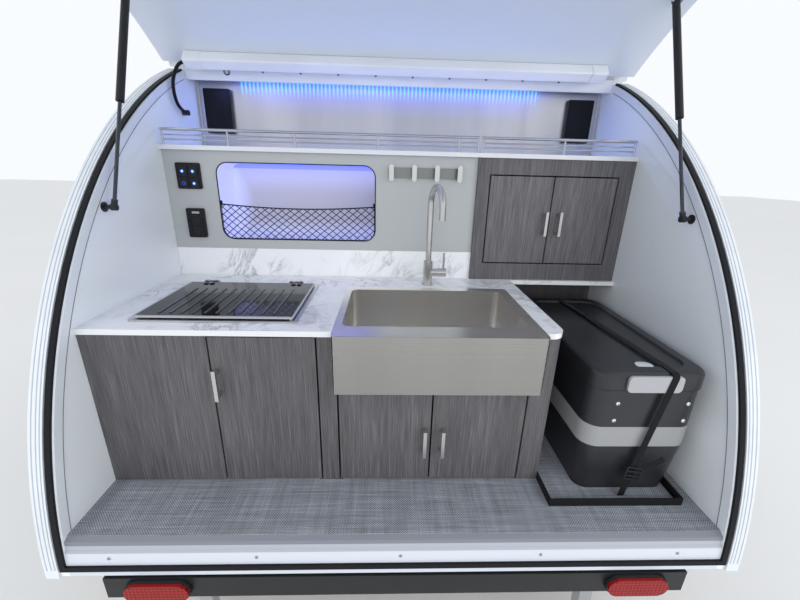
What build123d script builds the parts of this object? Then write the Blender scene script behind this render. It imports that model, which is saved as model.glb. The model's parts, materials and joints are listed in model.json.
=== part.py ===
"""Teardrop trailer with a rear galley, parked on its wheels, jack and rear legs, hatch open.

Millimetres. +X is right, +Y is forwards (the way it is towed), +Z is up from the ground.
The origin is on the ground under the middle of the trailer as it stands, hatch open.
"""
import os
from math import asin, atan2, cos, degrees, hypot, pi, radians, sin, sqrt, tan

from build123d import *

# Datum: the galley's depths are measured forwards from the base cabinets' front,
# and the galley's heights upwards from its floor.
galley_y = -1512.0
floor_z = 600.0

# Cabin shell
inner_half = 863.5          # half the width between the walls
wall_thick = 41.5
outer_half = inner_half + wall_thick
rear_radius = 1560.0        # rear arc of the side walls, under the hatch
rear_centre = (galley_y + 1347, floor_z - 206.5)
roof_thick = 40.0
front_radius = 1050.0       # front arc of the side walls
roof_run = 403.0            # level stretch of roof between the two arcs
nose_radius = 80.0
wall_bottom = floor_z - 110
fit = 0.3                   # running gap between parts that seat on each other
door_gap = 5.0              # gap round anything that opens
cabin_floor_drop = 40.0     # cabin floor below the galley floor
floor_thick = 45.0

# Hatch
hatch_thick = 38.0
hatch_seat = 12.0           # inside face of the closed hatch above the walls' edge
hatch_lap = 13.0            # hatch's edge outside the walls
hatch_half = outer_half + hatch_lap
hatch_open = 57.0           # degrees, from shut to the pose in the photograph
hinge_angle = 110.43        # degrees on the rear arc
hinge_rise = roof_thick + 5 # hinge axis above the walls' edge
roof_setback = 12.0         # roof's rear edge ahead of the hinge axis
hatch_foot_angle = 176.1    # degrees on the rear arc, the shut hatch's lower edge

# Gas struts, as seen from the side: foot on the wall, head on the hatch
strut_x = inner_half - 29.5
strut_foot = (galley_y + 204, floor_z + 786)
strut_head = (galley_y + 464.8, floor_z + 1424.9)
strut_rod_shown = 312.0     # from the foot to the end of the tube
strut_tube_r = 11.0
strut_rod_r = 5.0

# Entry doors
door_back = galley_y + 1560
door_width = 680.0
door_low = floor_z - 25
door_height = 1075.0
door_corner = 95.0
door_thick = 38.0
door_window = (420.0, 430.0)      # width and height of the glass opening
door_window_up = 790.0            # its middle above the door's foot
door_window_corner = 70.0

# Front window, in degrees on the front arc from level
window_low_angle = 16.0
window_high_angle = 56.0
window_half = 560.0
window_corner = 90.0

# Roof vent
vent_size = 356.0
vent_y = rear_centre[0] + roof_run / 2
vent_wall = 12.0
vent_rise = 32.0

# Running gear
tyre_r = 324.0
tyre_width = 195.0
rim_r = 177.8
rim_width = 165.0
wheel_x = outer_half + 30 + tyre_width / 2
axle_y = galley_y + 1130
axle_lead = 150.0           # torsion tube ahead of the wheel centre
axle_tube = 76.0
spindle_r = 20.0
fender_gap = 68.0
fender_half_width = 240.0   # from the wall outwards
fender_thick = 3.0

# Chassis
rail_x = 700.0
rail_height = 100.0
rail_width = 45.0
rail_wall = 5.0
rail_back = galley_y - 165
rail_front = galley_y + 2620
tongue_apex_y = galley_y + 3800
tongue_tube = (50.0, 75.0)
tongue_half_angle = 25.0
ball_r = 25.4
ball_y = galley_y + 3945
ball_up = 21.3              # ball's centre above the rails' underside
jack_y = galley_y + 3650
jack_tube_r = 28.5
jack_leg_r = 25.0
jack_lift = 200.0
foot_thick = 6.0
leg_x = rail_x - 95
leg_y = galley_y - 60
leg_tube = 40.0
bottle_r = 152.0
bottle_y = galley_y + 3290

# Galley furniture, depths from galley_y and heights from floor_z
board = 18.0
counter_z = 481.0
counter_thick = 16.0
counter_top = counter_z + counter_thick
shelf_z = 955.0
shelf_thick = 15.0
upstand_top = counter_top + 106
galley_back = 546.0         # the grey panel's face
panel_thick = 12.0
bulkhead_face = 893.3
cabinet_right = 423.0
stile = (-239.0, -190.0)    # middle stile
fixed_panel_right = -527.0
sink_doors = (-190.0, 84.0, 360.0)
sink_x = (-197.0, 383.0)
sink_y = (-34.0, 403.0)
sink_z = (counter_top - 173, counter_top)
bowl_x = (-176.0, 352.0)
bowl_y = (35.0, 370.0)
bowl_depth = 200.0
sheet = 2.0
hob_x = (-763.0, -300.0)
hob_y = (48.0, 412.0)
upper_x = (278.0, inner_half - fit)
upper_z = (counter_top, shelf_z)
upper_front = 533.0
upper_doors = (323.0, 567.0, 810.0)
upper_door_z = (upper_z[0] + 66, upper_z[1] - 57)
niche_x = (-679.0, -101.0)
niche_z = (upstand_top + 37, shelf_z - 39)
niche_depth = 150.0
niche_corner = 42.0
tray_x = (cabinet_right, cabinet_right + 392)
tray_y = (-103.0, 600.0)
tray_height = 26.0
tray_wall = 3.0
cooler_x = (tray_x[0] + 85, tray_x[1] + 15)     # the cooler narrows towards its base
cooler_y = (-60.0, 570.0)
cooler_z = (tray_wall + fit, 410.0)

os.makedirs("parts", exist_ok=True)


def save(item, label):
    """Name a finished piece and write it."""
    item.part.label = label
    export_step(item.part, f"parts/{label}.step")


def on_rear(radius, angle):
    """Point (y, z) on an arc about the rear centre, angle in degrees from level forwards."""
    a = radians(angle)
    return (rear_centre[0] + radius * cos(a), rear_centre[1] + radius * sin(a))


front_centre = (rear_centre[0] + roof_run, rear_centre[1] + rear_radius - front_radius)
roof_top = rear_centre[1] + rear_radius + roof_thick
front_y = front_centre[0] + front_radius
hinge = on_rear(rear_radius + hinge_rise, hinge_angle)
roof_start = hinge_angle - degrees(roof_setback / (rear_radius + roof_thick))


def on_front(radius, angle):
    """Point (y, z) on an arc about the front centre, angle in degrees from level forwards."""
    a = radians(angle)
    return (front_centre[0] + radius * cos(a), front_centre[1] + radius * sin(a))


def foot_angle(radius, z):
    """Angle on a rear arc where it comes down to a height."""
    return 180 - degrees(asin((z - rear_centre[1]) / radius))


def side_outline(rear_out, roof_out, bottom=wall_bottom):
    """Closed side outline, its rear edge and its roof and front moved out by two distances."""
    rear_r = rear_radius + rear_out
    roof_r = rear_radius + roof_out
    front_r = front_radius + roof_out
    nose_r = nose_radius + roof_out
    low_a = foot_angle(rear_r, bottom)
    nose_y = front_centre[0] + front_r
    with BuildSketch() as outline:
        with BuildLine():
            ThreePointArc(on_rear(rear_r, low_a), on_rear(rear_r, (low_a + roof_start) / 2),
                          on_rear(rear_r, roof_start))
            if rear_out != roof_out:
                Line(on_rear(rear_r, roof_start), on_rear(roof_r, roof_start))
            ThreePointArc(on_rear(roof_r, roof_start), on_rear(roof_r, (roof_start + 90) / 2),
                          on_rear(roof_r, 90))
            Line(on_rear(roof_r, 90), on_front(front_r, 90))
            ThreePointArc(on_front(front_r, 90), on_front(front_r, 45), on_front(front_r, 0))
            Line(on_front(front_r, 0), (nose_y, bottom + nose_r))
            ThreePointArc((nose_y, bottom + nose_r),
                          (nose_y - nose_r * (1 - cos(pi / 4)), bottom + nose_r * (1 - sin(pi / 4))),
                          (nose_y - nose_r, bottom))
            Line((nose_y - nose_r, bottom), on_rear(rear_r, low_a))
        make_face()
    return outline.sketch


def roof_band(inner_out, outer_out, bottom=wall_bottom):
    """Band along the roof and front, from behind the hinge to the nose, between two offsets."""
    edges = []
    for out in (inner_out, outer_out):
        rear_r = rear_radius + out
        front_r = front_radius + out
        nose_y = front_centre[0] + front_r
        edges.append((rear_r, front_r, nose_y))
    with BuildSketch() as outline:
        with BuildLine():
            for rear_r, front_r, nose_y in edges:
                ThreePointArc(on_rear(rear_r, roof_start), on_rear(rear_r, (roof_start + 90) / 2),
                              on_rear(rear_r, 90))
                Line(on_rear(rear_r, 90), on_front(front_r, 90))
                ThreePointArc(on_front(front_r, 90), on_front(front_r, 45), on_front(front_r, 0))
                Line(on_front(front_r, 0), (nose_y, bottom + nose_radius))
            Line(on_rear(edges[0][0], roof_start), on_rear(edges[1][0], roof_start))
            Line((edges[0][2], bottom + nose_radius), (edges[1][2], bottom + nose_radius))
        make_face()
    return outline.sketch


def rear_band(inner_r, outer_r, from_angle, to_angle):
    """Band between two radii about the rear centre."""
    mid = (from_angle + to_angle) / 2
    with BuildSketch() as outline:
        with BuildLine():
            ThreePointArc(on_rear(inner_r, from_angle), on_rear(inner_r, mid), on_rear(inner_r, to_angle))
            Line(on_rear(inner_r, to_angle), on_rear(outer_r, to_angle))
            ThreePointArc(on_rear(outer_r, to_angle), on_rear(outer_r, mid), on_rear(outer_r, from_angle))
            Line(on_rear(outer_r, from_angle), on_rear(inner_r, from_angle))
        make_face()
    return outline.sketch


def box_between(x, y, z, mode=Mode.ADD):
    """Box between pairs of coordinates, in the part being built."""
    with Locations(((x[0] + x[1]) / 2, (y[0] + y[1]) / 2, (z[0] + z[1]) / 2)):
        Box(x[1] - x[0], y[1] - y[0], z[1] - z[0], mode=mode)


def galley_box(x, y, z, mode=Mode.ADD):
    """Box with its depths from galley_y and its heights from floor_z."""
    box_between(x, (galley_y + y[0], galley_y + y[1]), (floor_z + z[0], floor_z + z[1]), mode)


def side_plane(x):
    """Plane seen from the side, its local axes along +Y and +Z, at a distance x."""
    return Plane(origin=(x, 0, 0), x_dir=(0, 1, 0), z_dir=(1, 0, 0))


# Hatch frame: local x runs back along the shut hatch from the hinge, local y stands outwards.
# At rest the hatch stands open, so this frame is turned up about the hinge.
hatch_rest = radians(-hatch_open)


def turned(y, z):
    """Direction (y, z) of the shut hatch as it points with the hatch open."""
    return (y * cos(hatch_rest) - z * sin(hatch_rest), y * sin(hatch_rest) + z * cos(hatch_rest))


def opened(point):
    """Point (y, z) of the shut hatch as it lies with the hatch open."""
    dy, dz = turned(point[0] - hinge[0], point[1] - hinge[1])
    return (hinge[0] + dy, hinge[1] + dz)


def shut_plane(x, is_open):
    """Plane along the hinge's tangent (local x backwards, local y outwards), at a distance x."""
    tangent = (-sin(radians(hinge_angle)), cos(radians(hinge_angle)))
    if is_open:
        tangent = turned(*tangent)
    return Plane(origin=(x, hinge[0], hinge[1]), x_dir=(0, tangent[0], tangent[1]), z_dir=(-1, 0, 0))


# Side walls, with the fixed halves of the entry doors' hinges
door_front = door_back + door_width
door_hinge = (8.0, door_front - door_gap / 2)   # pin's distance out from the wall, and its y
door_hinge_up = (160.0, 520.0, 900.0)           # hinges' heights above the door's foot
knuckle_r = 6.0
hinge_pin_r = 3.0
leaf = (34.0, 3.0)          # width and thickness
stud_r = 6.0
stud_length = 21.0
conduit_gland = (galley_y + 742, floor_z + 1097)
gland_r = 10.0
for side, label in ((-1, "wall_left"), (1, "wall_right")):
    with BuildPart() as wall:
        with BuildSketch(side_plane(side * inner_half)):
            add(side_outline(0, roof_thick))
            with Locations(((door_back + door_front) / 2, door_low + door_height / 2)):
                RectangleRounded(door_width, door_height, door_corner, mode=Mode.SUBTRACT)
        extrude(amount=side * wall_thick)
        # Inside door stop, a lip that the door closes against
        with BuildSketch(side_plane(side * inner_half)):
            with Locations(((door_back + door_front) / 2, door_low + door_height / 2)):
                RectangleRounded(door_width, door_height, door_corner)
                RectangleRounded(door_width - 36, door_height - 36, door_corner - 18, mode=Mode.SUBTRACT)
        extrude(amount=side * 3)
        for up in door_hinge_up:
            pin_at = (side * (outer_half + door_hinge[0]), door_hinge[1], door_low + up)
            with Locations((side * (outer_half + leaf[1] / 2), door_hinge[1] + leaf[0] / 2 + 5, pin_at[2])):
                Box(leaf[1], leaf[0], 80)
            for end in (-1, 1):
                with Locations((pin_at[0], pin_at[1], pin_at[2] + end * 27)):
                    Cylinder(knuckle_r, 26)
                with Locations((side * (outer_half + 4), pin_at[1] + 5, pin_at[2] + end * 27)):
                    Box(8, 8, 26)
            with Locations(pin_at):
                Cylinder(hinge_pin_r, 30)
        # Stud that carries the gas strut's foot
        with BuildSketch(side_plane(side * inner_half)):
            with Locations(strut_foot):
                Circle(14)
        extrude(amount=-side * 4)
        with BuildSketch(side_plane(side * inner_half)):
            with Locations(strut_foot):
                Circle(stud_r)
        extrude(amount=-side * stud_length)
        if side < 0:
            # Gland where the light bar's conduit comes out of the left wall
            with BuildSketch(side_plane(side * inner_half)):
                with Locations(conduit_gland):
                    Circle(gland_r)
            extrude(amount=-side * 25)
    save(wall, label)

# Roof and front shell, one bent panel with openings for the window and the vent
with BuildPart() as window_opening:
    with BuildSketch(side_plane(-window_half)):
        with BuildLine():
            for r, a, b in ((front_radius - 60, window_low_angle, window_high_angle),
                            (front_radius + roof_thick + 60, window_low_angle, window_high_angle)):
                ThreePointArc(on_front(r, a), on_front(r, (a + b) / 2), on_front(r, b))
            for a in (window_low_angle, window_high_angle):
                Line(on_front(front_radius - 60, a), on_front(front_radius + roof_thick + 60, a))
        make_face()
    extrude(amount=2 * window_half)
    fillet(window_opening.edges().filter_by(GeomType.LINE).filter_by(
        lambda e: abs((e @ 0).X - (e @ 1).X) < 1), radius=window_corner)

with BuildPart() as roof_shell:
    with BuildSketch(side_plane(-inner_half + fit)):
        add(roof_band(fit, roof_thick))
    extrude(amount=2 * (inner_half - fit))
    add(window_opening.part, mode=Mode.SUBTRACT)
    with Locations((0, vent_y, roof_top - roof_thick / 2)):
        Box(vent_size, vent_size, roof_thick + 20, mode=Mode.SUBTRACT)
save(roof_shell, "roof_shell")

# Front window, a curved pane with a clamping frame on the outside
pane_r = front_radius + roof_thick
frame_width = 34.0
with BuildPart() as front_window:
    with BuildSketch(side_plane(-window_half - frame_width)):
        grow = degrees(frame_width / pane_r)
        mid = (window_low_angle + window_high_angle) / 2
        with BuildLine():
            for r in (pane_r + fit, pane_r + 9):
                ThreePointArc(on_front(r, window_low_angle - grow), on_front(r, mid),
                              on_front(r, window_high_angle + grow))
            for a in (window_low_angle - grow, window_high_angle + grow):
                Line(on_front(pane_r + fit, a), on_front(pane_r + 9, a))
        make_face()
    extrude(amount=2 * (window_half + frame_width))
    fillet(front_window.edges().filter_by(GeomType.LINE).filter_by(
        lambda e: abs((e @ 0).X - (e @ 1).X) < 1), radius=window_corner + frame_width / 2)
save(front_window, "front_window")

# Edge trims: a ribbed angle section that caps the walls' edges and turns down the outside
trim_lap = 34.0             # over the roof's edge, inwards from the outside face
rear_trim_lap = 21.0        # over the rear edge, outside the seal
trim_drop = 30.0            # down the outside face
trim_out = 13.0             # outside the wall's face
trim_rise = (7.0, 6.0)      # above the rear edge and above the roof
trim_rib = (5.0, 2.0)       # width of the ribs on the outside, and how far they stand out
trim_rib_drops = (26.0, 15.0, 4.0)
trim_start = hinge_angle + 0.4
trim_foot = foot_angle(rear_radius, wall_bottom)
with BuildPart() as edge_trims:
    for side in (-1, 1):
        with BuildSketch(side_plane(side * (outer_half - rear_trim_lap))):
            add(rear_band(rear_radius + fit, rear_radius + trim_rise[0], trim_start, trim_foot))
        extrude(amount=side * (rear_trim_lap + trim_out))
        with BuildSketch(side_plane(side * (outer_half + fit))):
            add(rear_band(rear_radius - trim_drop, rear_radius + trim_rise[0], trim_start, trim_foot))
        extrude(amount=side * (trim_out - fit))
        with BuildSketch(side_plane(side * (outer_half - trim_lap))):
            add(roof_band(roof_thick + fit, roof_thick + trim_rise[1]))
        extrude(amount=side * (trim_lap + trim_out))
        with BuildSketch(side_plane(side * (outer_half + fit))):
            add(roof_band(roof_thick - trim_drop, roof_thick + trim_rise[1]))
        extrude(amount=side * (trim_out - fit))
        for drop in trim_rib_drops:
            with BuildSketch(side_plane(side * (outer_half + trim_out - 1))):
                add(rear_band(rear_radius - drop, rear_radius - drop + trim_rib[0], trim_start, trim_foot))
                add(roof_band(roof_thick - drop, roof_thick - drop + trim_rib[0]))
            extrude(amount=side * (trim_rib[1] + 1))
save(edge_trims, "edge_trims")

# Floor
floor_back = galley_y - 185
floor_front = front_y - 25
floor_top = floor_z - cabin_floor_drop
with BuildPart() as floor_panel:
    box_between((-inner_half + fit, inner_half - fit), (floor_back, floor_front),
                (floor_top - floor_thick, floor_top))
save(floor_panel, "floor_panel")

# Bulkhead between the galley and the cabin, its top cut to the roof's curve
bulkhead_y = galley_y + bulkhead_face
with BuildPart() as bulkhead:
    with BuildSketch(side_plane(-inner_half + fit)):
        add(side_outline(-fit, 0))
        with Locations((bulkhead_y + board / 2, floor_top + 1000)):
            Rectangle(board, 2000, mode=Mode.INTERSECT)
    extrude(amount=2 * (inner_half - fit))
save(bulkhead, "bulkhead")

# Mattress over the cabin floor
with BuildPart() as mattress:
    box_between((-inner_half + 12, inner_half - 12), (bulkhead_y + board + 8, front_y - 45),
                (floor_top + fit, floor_top + 140))
    fillet(mattress.edges().filter_by(Axis.Z), radius=60)
    fillet(mattress.edges().group_by(Axis.Z)[-1], radius=30)
save(mattress, "mattress")

# Roof vent: flanged frame through the roof, and a domed lid hinged at its front edge
vent_out = vent_size / 2 + vent_wall
vent_seat = roof_top + fit + vent_rise
vent_flange = 25.0
lid_overlap = 10.0
lid_half = vent_out + lid_overlap
lid_wall = 3.0
vent_pin = (vent_y + lid_half + 4, vent_seat + 4)   # y and z of the hinge's axis
vent_pin_r = 1.8
vent_knuckle_r = 4.0
vent_hinges = (-110.0, 110.0)
vent_knuckle = (24.0, 10.0)         # lengths along the axis: the lid's, and each of the frame's
with BuildPart() as roof_vent_base:
    with Locations((0, vent_y, roof_top + fit)):
        Box(2 * (vent_out + vent_flange), 2 * (vent_out + vent_flange), 4,
            align=(Align.CENTER, Align.CENTER, Align.MIN))
    fillet(roof_vent_base.edges().filter_by(Axis.Z), radius=20)
    with Locations((0, vent_y, roof_top + fit)):
        Box(2 * vent_out, 2 * vent_out, vent_rise, align=(Align.CENTER, Align.CENTER, Align.MIN))
        Box(vent_size - 2 * fit, vent_size - 2 * fit, roof_thick,
            align=(Align.CENTER, Align.CENTER, Align.MAX))
        Box(vent_size - 2 * vent_wall, vent_size - 2 * vent_wall, 4 * roof_thick, mode=Mode.SUBTRACT)
    for hinge_x in vent_hinges:
        for end in (-1, 1):
            post_x = hinge_x + end * (vent_knuckle[0] + vent_knuckle[1] + 2) / 2
            with Locations((post_x, *vent_pin)):
                Cylinder(vent_knuckle_r, vent_knuckle[1], rotation=(0, 90, 0))
                Box(vent_knuckle[1], 2 * vent_knuckle_r, vent_pin[1] - roof_top - fit,
                    align=(Align.CENTER, Align.CENTER, Align.MAX))
        with Locations((hinge_x, *vent_pin)):
            Cylinder(vent_pin_r, vent_knuckle[0] + 6, rotation=(0, 90, 0))
save(roof_vent_base, "roof_vent_base")

with BuildPart() as roof_vent_lid:
    with BuildSketch(Plane.XY.offset(vent_seat + fit)):
        with Locations((0, vent_y)):
            RectangleRounded(2 * lid_half, 2 * lid_half, 30)
    extrude(amount=58, taper=14)
    offset(amount=-lid_wall, openings=roof_vent_lid.faces().sort_by(Axis.Z)[0])
    with BuildSketch(Plane.XY.offset(vent_seat + fit)):
        with Locations((0, vent_y)):
            RectangleRounded(2 * lid_half - 4, 2 * lid_half - 4, 28)
            RectangleRounded(2 * lid_half - 54, 2 * lid_half - 54, 8, mode=Mode.SUBTRACT)
    extrude(amount=lid_wall)
    for hinge_x in vent_hinges:
        with Locations((hinge_x, *vent_pin)):
            Cylinder(vent_knuckle_r, vent_knuckle[0], rotation=(0, 90, 0))
        with Locations((hinge_x, vent_pin[0], vent_seat + fit)):
            Box(vent_knuckle[0], vent_knuckle_r + 8, lid_wall, align=(Align.CENTER, Align.MAX, Align.MIN))
        with Locations((hinge_x, *vent_pin)):
            Cylinder(vent_pin_r + 0.4, vent_knuckle[0], rotation=(0, 90, 0), mode=Mode.SUBTRACT)
save(roof_vent_lid, "roof_vent_lid")

# Entry doors: panel, window opening and bar handle; the hinge side is forwards
for side, word in ((-1, "left"), (1, "right")):
    face_x = side * outer_half
    mid_y = (door_back + door_front) / 2
    mid_z = door_low + door_height / 2
    window_z = door_low + door_window_up
    with BuildPart() as entry_door:
        with BuildSketch(side_plane(face_x)):
            with Locations((mid_y, mid_z)):
                RectangleRounded(door_width - 2 * door_gap, door_height - 2 * door_gap,
                                 door_corner - door_gap)
            with Locations((mid_y, window_z)):
                RectangleRounded(*door_window, door_window_corner, mode=Mode.SUBTRACT)
        extrude(amount=-side * (door_thick - 5))
        for up in door_hinge_up:
            pin_at = (face_x + side * door_hinge[0], door_hinge[1], door_low + up)
            with Locations((face_x + side * leaf[1] / 2, door_hinge[1] - leaf[0] / 2 - 5, pin_at[2])):
                Box(leaf[1], leaf[0], 80)
            with Locations(pin_at):
                Cylinder(knuckle_r, 27)
            with Locations((face_x + side * 4, pin_at[1] - 6, pin_at[2])):
                Box(8, 8, 27)
            with Locations(pin_at):
                Cylinder(hinge_pin_r + 0.4, 27, mode=Mode.SUBTRACT)
        # Latch plate and pull on the free, rear edge
        with Locations((face_x + side * 2, door_back + 75, door_low + 470)):
            Box(4, 70, 150)
        with Locations((face_x + side * 20, door_back + 75, door_low + 470)):
            Box(10, 18, 110)
        for up in (-46, 46):
            with Locations((face_x + side * 12, door_back + 75, door_low + 470 + up)):
                Box(20, 18, 18)
    save(entry_door, f"entry_door_{word}")
    with BuildPart() as door_glass:
        with BuildSketch(side_plane(face_x + side * fit)):
            with Locations((mid_y, window_z)):
                RectangleRounded(door_window[0] + 50, door_window[1] + 50, door_window_corner + 25)
        extrude(amount=side * 8)
    save(door_glass, f"entry_door_{word}_window")

# Galley floor: a raised deck on joists over the trailer's floor
with BuildPart() as galley_floor:
    galley_box((-inner_half + fit, inner_half - fit), (-185, bulkhead_face - fit), (-board, 0))
    for joist_y in (-167, 120, 400, 700):
        galley_box((-inner_half + fit, inner_half - fit), (joist_y - 18, joist_y + 18),
                   (-cabin_floor_drop, -board))
save(galley_floor, "galley_floor")

# Sill: the threshold extrusion under the hatch, its rear face on the walls' arc
with BuildPart() as rear_sill:
    sill_top_a = foot_angle(rear_radius, floor_z - 34)
    sill_low_a = foot_angle(rear_radius, wall_bottom)
    with BuildSketch(side_plane(-inner_half + fit)):
        with BuildLine():
            Polyline((floor_back - fit, wall_bottom), (floor_back - fit, floor_z - 2),
                     (galley_y - 197, floor_z - 9), (galley_y - 200, floor_z - 31),
                     on_rear(rear_radius, sill_top_a))
            ThreePointArc(on_rear(rear_radius, sill_top_a),
                          on_rear(rear_radius, (sill_top_a + sill_low_a) / 2),
                          on_rear(rear_radius, sill_low_a))
            Line(on_rear(rear_radius, sill_low_a), (floor_back - fit, wall_bottom))
        make_face()
    extrude(amount=2 * (inner_half - fit))
save(rear_sill, "rear_sill")

# Seal round the hatch opening
seal_x = (inner_half + 2.5, inner_half + 16.5)
seal_r = (rear_radius + fit, rear_radius + trim_rise[0])
seal_foot = foot_angle(rear_radius, floor_z - 90)
with BuildPart() as opening_seal:
    for side in (-1, 1):
        with BuildSketch(side_plane(side * seal_x[0])):
            add(rear_band(*seal_r, trim_start, seal_foot))
        extrude(amount=side * (seal_x[1] - seal_x[0]))
    with BuildSketch(side_plane(-seal_x[1])):
        add(rear_band(*seal_r, seal_foot - 0.5, seal_foot))
    extrude(amount=2 * seal_x[1])
save(opening_seal, "opening_seal")

# Header inside the hinge, and the fixed half of the hinge on the roof
bead_r = 4.0
skin_up = hatch_seat + hatch_thick - hinge_rise   # hatch's skin above the hinge axis
leaf_half = outer_half - trim_lap - door_gap
header_depth = 40.0         # forwards from the hinge
header_drop = 34.0          # below the walls' edge
header_lip = 16.0           # above the walls' edge, behind the roof
roof_leaf = (42.0, 2.2)     # width and thickness of the hinge's leaf on the roof
roof_leaf_low = roof_thick - hinge_rise + 2 * fit
with BuildPart() as hatch_header:
    with BuildSketch(shut_plane(inner_half - fit, False)) as header_profile:
        with BuildLine():
            Polyline((0, header_lip - hinge_rise), (0, -header_drop - hinge_rise),
                     (-header_depth, -header_drop - hinge_rise), (-header_depth, -hinge_rise - fit),
                     (fit - roof_setback, -hinge_rise - fit), (fit - roof_setback, header_lip - hinge_rise),
                     close=True)
        make_face()
        fillet(header_profile.vertices().group_by(Axis.Y)[0], radius=8)
        fillet(header_profile.vertices().group_by(Axis.Y)[-1], radius=3)
    extrude(amount=2 * (inner_half - fit))
    with BuildSketch(shut_plane(leaf_half, False)):
        Circle(bead_r)
        with BuildLine():
            Polyline((-1, roof_leaf_low), (-roof_leaf[0], roof_leaf_low),
                     (-roof_leaf[0], roof_leaf_low + roof_leaf[1]), (-1, roof_leaf_low + roof_leaf[1]),
                     close=True)
        make_face()
    extrude(amount=2 * leaf_half)
save(hatch_header, "hatch_header")

# Hatch: a curved sandwich panel that hooks round the hinge bead, with strut brackets and a pull
hatch_in = rear_radius + hatch_seat
hatch_out = hatch_in + hatch_thick
hatch_start = hinge_angle + degrees(9 / hatch_out)


def hatch_point(radius, angle):
    """Point (y, z) of the hatch as it stands open, from its radius and angle when shut."""
    return opened(on_rear(radius, angle))


def hatch_band(inner_r, outer_r, from_angle, to_angle):
    """Band of the open hatch between two radii."""
    mid = (from_angle + to_angle) / 2
    with BuildSketch() as outline:
        with BuildLine():
            ThreePointArc(hatch_point(inner_r, from_angle), hatch_point(inner_r, mid),
                          hatch_point(inner_r, to_angle))
            Line(hatch_point(inner_r, to_angle), hatch_point(outer_r, to_angle))
            ThreePointArc(hatch_point(outer_r, to_angle), hatch_point(outer_r, mid),
                          hatch_point(outer_r, from_angle))
            Line(hatch_point(outer_r, from_angle), hatch_point(inner_r, from_angle))
        make_face()
    return outline.sketch


shut_head = (hinge[0] + (strut_head[0] - hinge[0]) * cos(hatch_rest)
             + (strut_head[1] - hinge[1]) * sin(hatch_rest),
             hinge[1] - (strut_head[0] - hinge[0]) * sin(hatch_rest)
             + (strut_head[1] - hinge[1]) * cos(hatch_rest))
head_radius = hypot(shut_head[0] - rear_centre[0], shut_head[1] - rear_centre[1])
head_angle = degrees(atan2(shut_head[1] - rear_centre[1], shut_head[0] - rear_centre[0]))
pin_r = 4.0
bracket_x = strut_x + 12
with BuildPart() as hatch_shell:
    with BuildSketch(side_plane(-hatch_half)):
        add(hatch_band(hatch_in, hatch_out, hatch_start, hatch_foot_angle))
    extrude(amount=2 * hatch_half)
    # Hook of the hinge, an open ring round the bead, with its leaf on the hatch's skin
    with BuildSketch(shut_plane(leaf_half, True)):
        Circle(7.6)
        Circle(4.8, mode=Mode.SUBTRACT)
        with BuildLine():
            Polyline((0, 0), (-8.2, 11.3), (-16, 0), (-1.2, -14), close=True)
        make_face(mode=Mode.SUBTRACT)
        with BuildLine():
            Polyline((3, 5.2), (46, skin_up - 0.6), (46, skin_up + 2.2), (3, 7.6), close=True)
        make_face()
    extrude(amount=2 * leaf_half)
    # Brackets and pins for the struts' heads
    for side in (-1, 1):
        with BuildSketch(side_plane(side * bracket_x)):
            add(hatch_band(head_radius - 12, hatch_in + 1, head_angle - 0.7, head_angle + 0.7))
        extrude(amount=side * 6)
        with BuildSketch(side_plane(side * bracket_x)):
            with Locations(strut_head):
                Circle(pin_r)
        extrude(amount=-side * 22)
    # Pull handle near the lower edge
    pull_angle = hatch_foot_angle - 4.5
    for x in (-70, 70):
        with BuildSketch(side_plane(x - 8)):
            add(hatch_band(hatch_out - 1, hatch_out + 30, pull_angle - 0.35, pull_angle + 0.35))
        extrude(amount=16)
    with BuildSketch(side_plane(-90)):
        add(hatch_band(hatch_out + 20, hatch_out + 32, pull_angle - 0.35, pull_angle + 0.35))
    extrude(amount=180)
save(hatch_shell, "hatch_shell")

# Light bar on the hatch's lining, close to the hinge
light_x = (-inner_half + 48.5, inner_half - 83.5)
light_size = (44.0, 45.0)
light_back = 59.0           # along the lining, from the hinge to the bar's far side
light_sag = light_back ** 2 / (2 * hatch_in)    # the lining curves away by this much there
light_cap = (58.0, 2.5)     # length of the end caps, and how far they stand out
with BuildPart() as hatch_light_bar:
    light_seat = hatch_seat - hinge_rise - light_sag - fit
    with BuildSketch(shut_plane(light_x[1], True)):
        with Locations((light_back - light_size[0] / 2, light_seat - light_size[1] / 2)):
            RectangleRounded(*light_size, 6)
    extrude(amount=light_x[1] - light_x[0])
    for cap_end in (light_x[1], light_x[0] + light_cap[0]):
        with BuildSketch(shut_plane(cap_end, True)):
            with Locations((light_back - light_size[0] / 2, light_seat - (light_size[1] + light_cap[1]) / 2)):
                RectangleRounded(light_size[0] + 2 * light_cap[1], light_size[1] + light_cap[1], 8)
        extrude(amount=light_cap[0])
save(hatch_light_bar, "hatch_light_bar")

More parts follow.
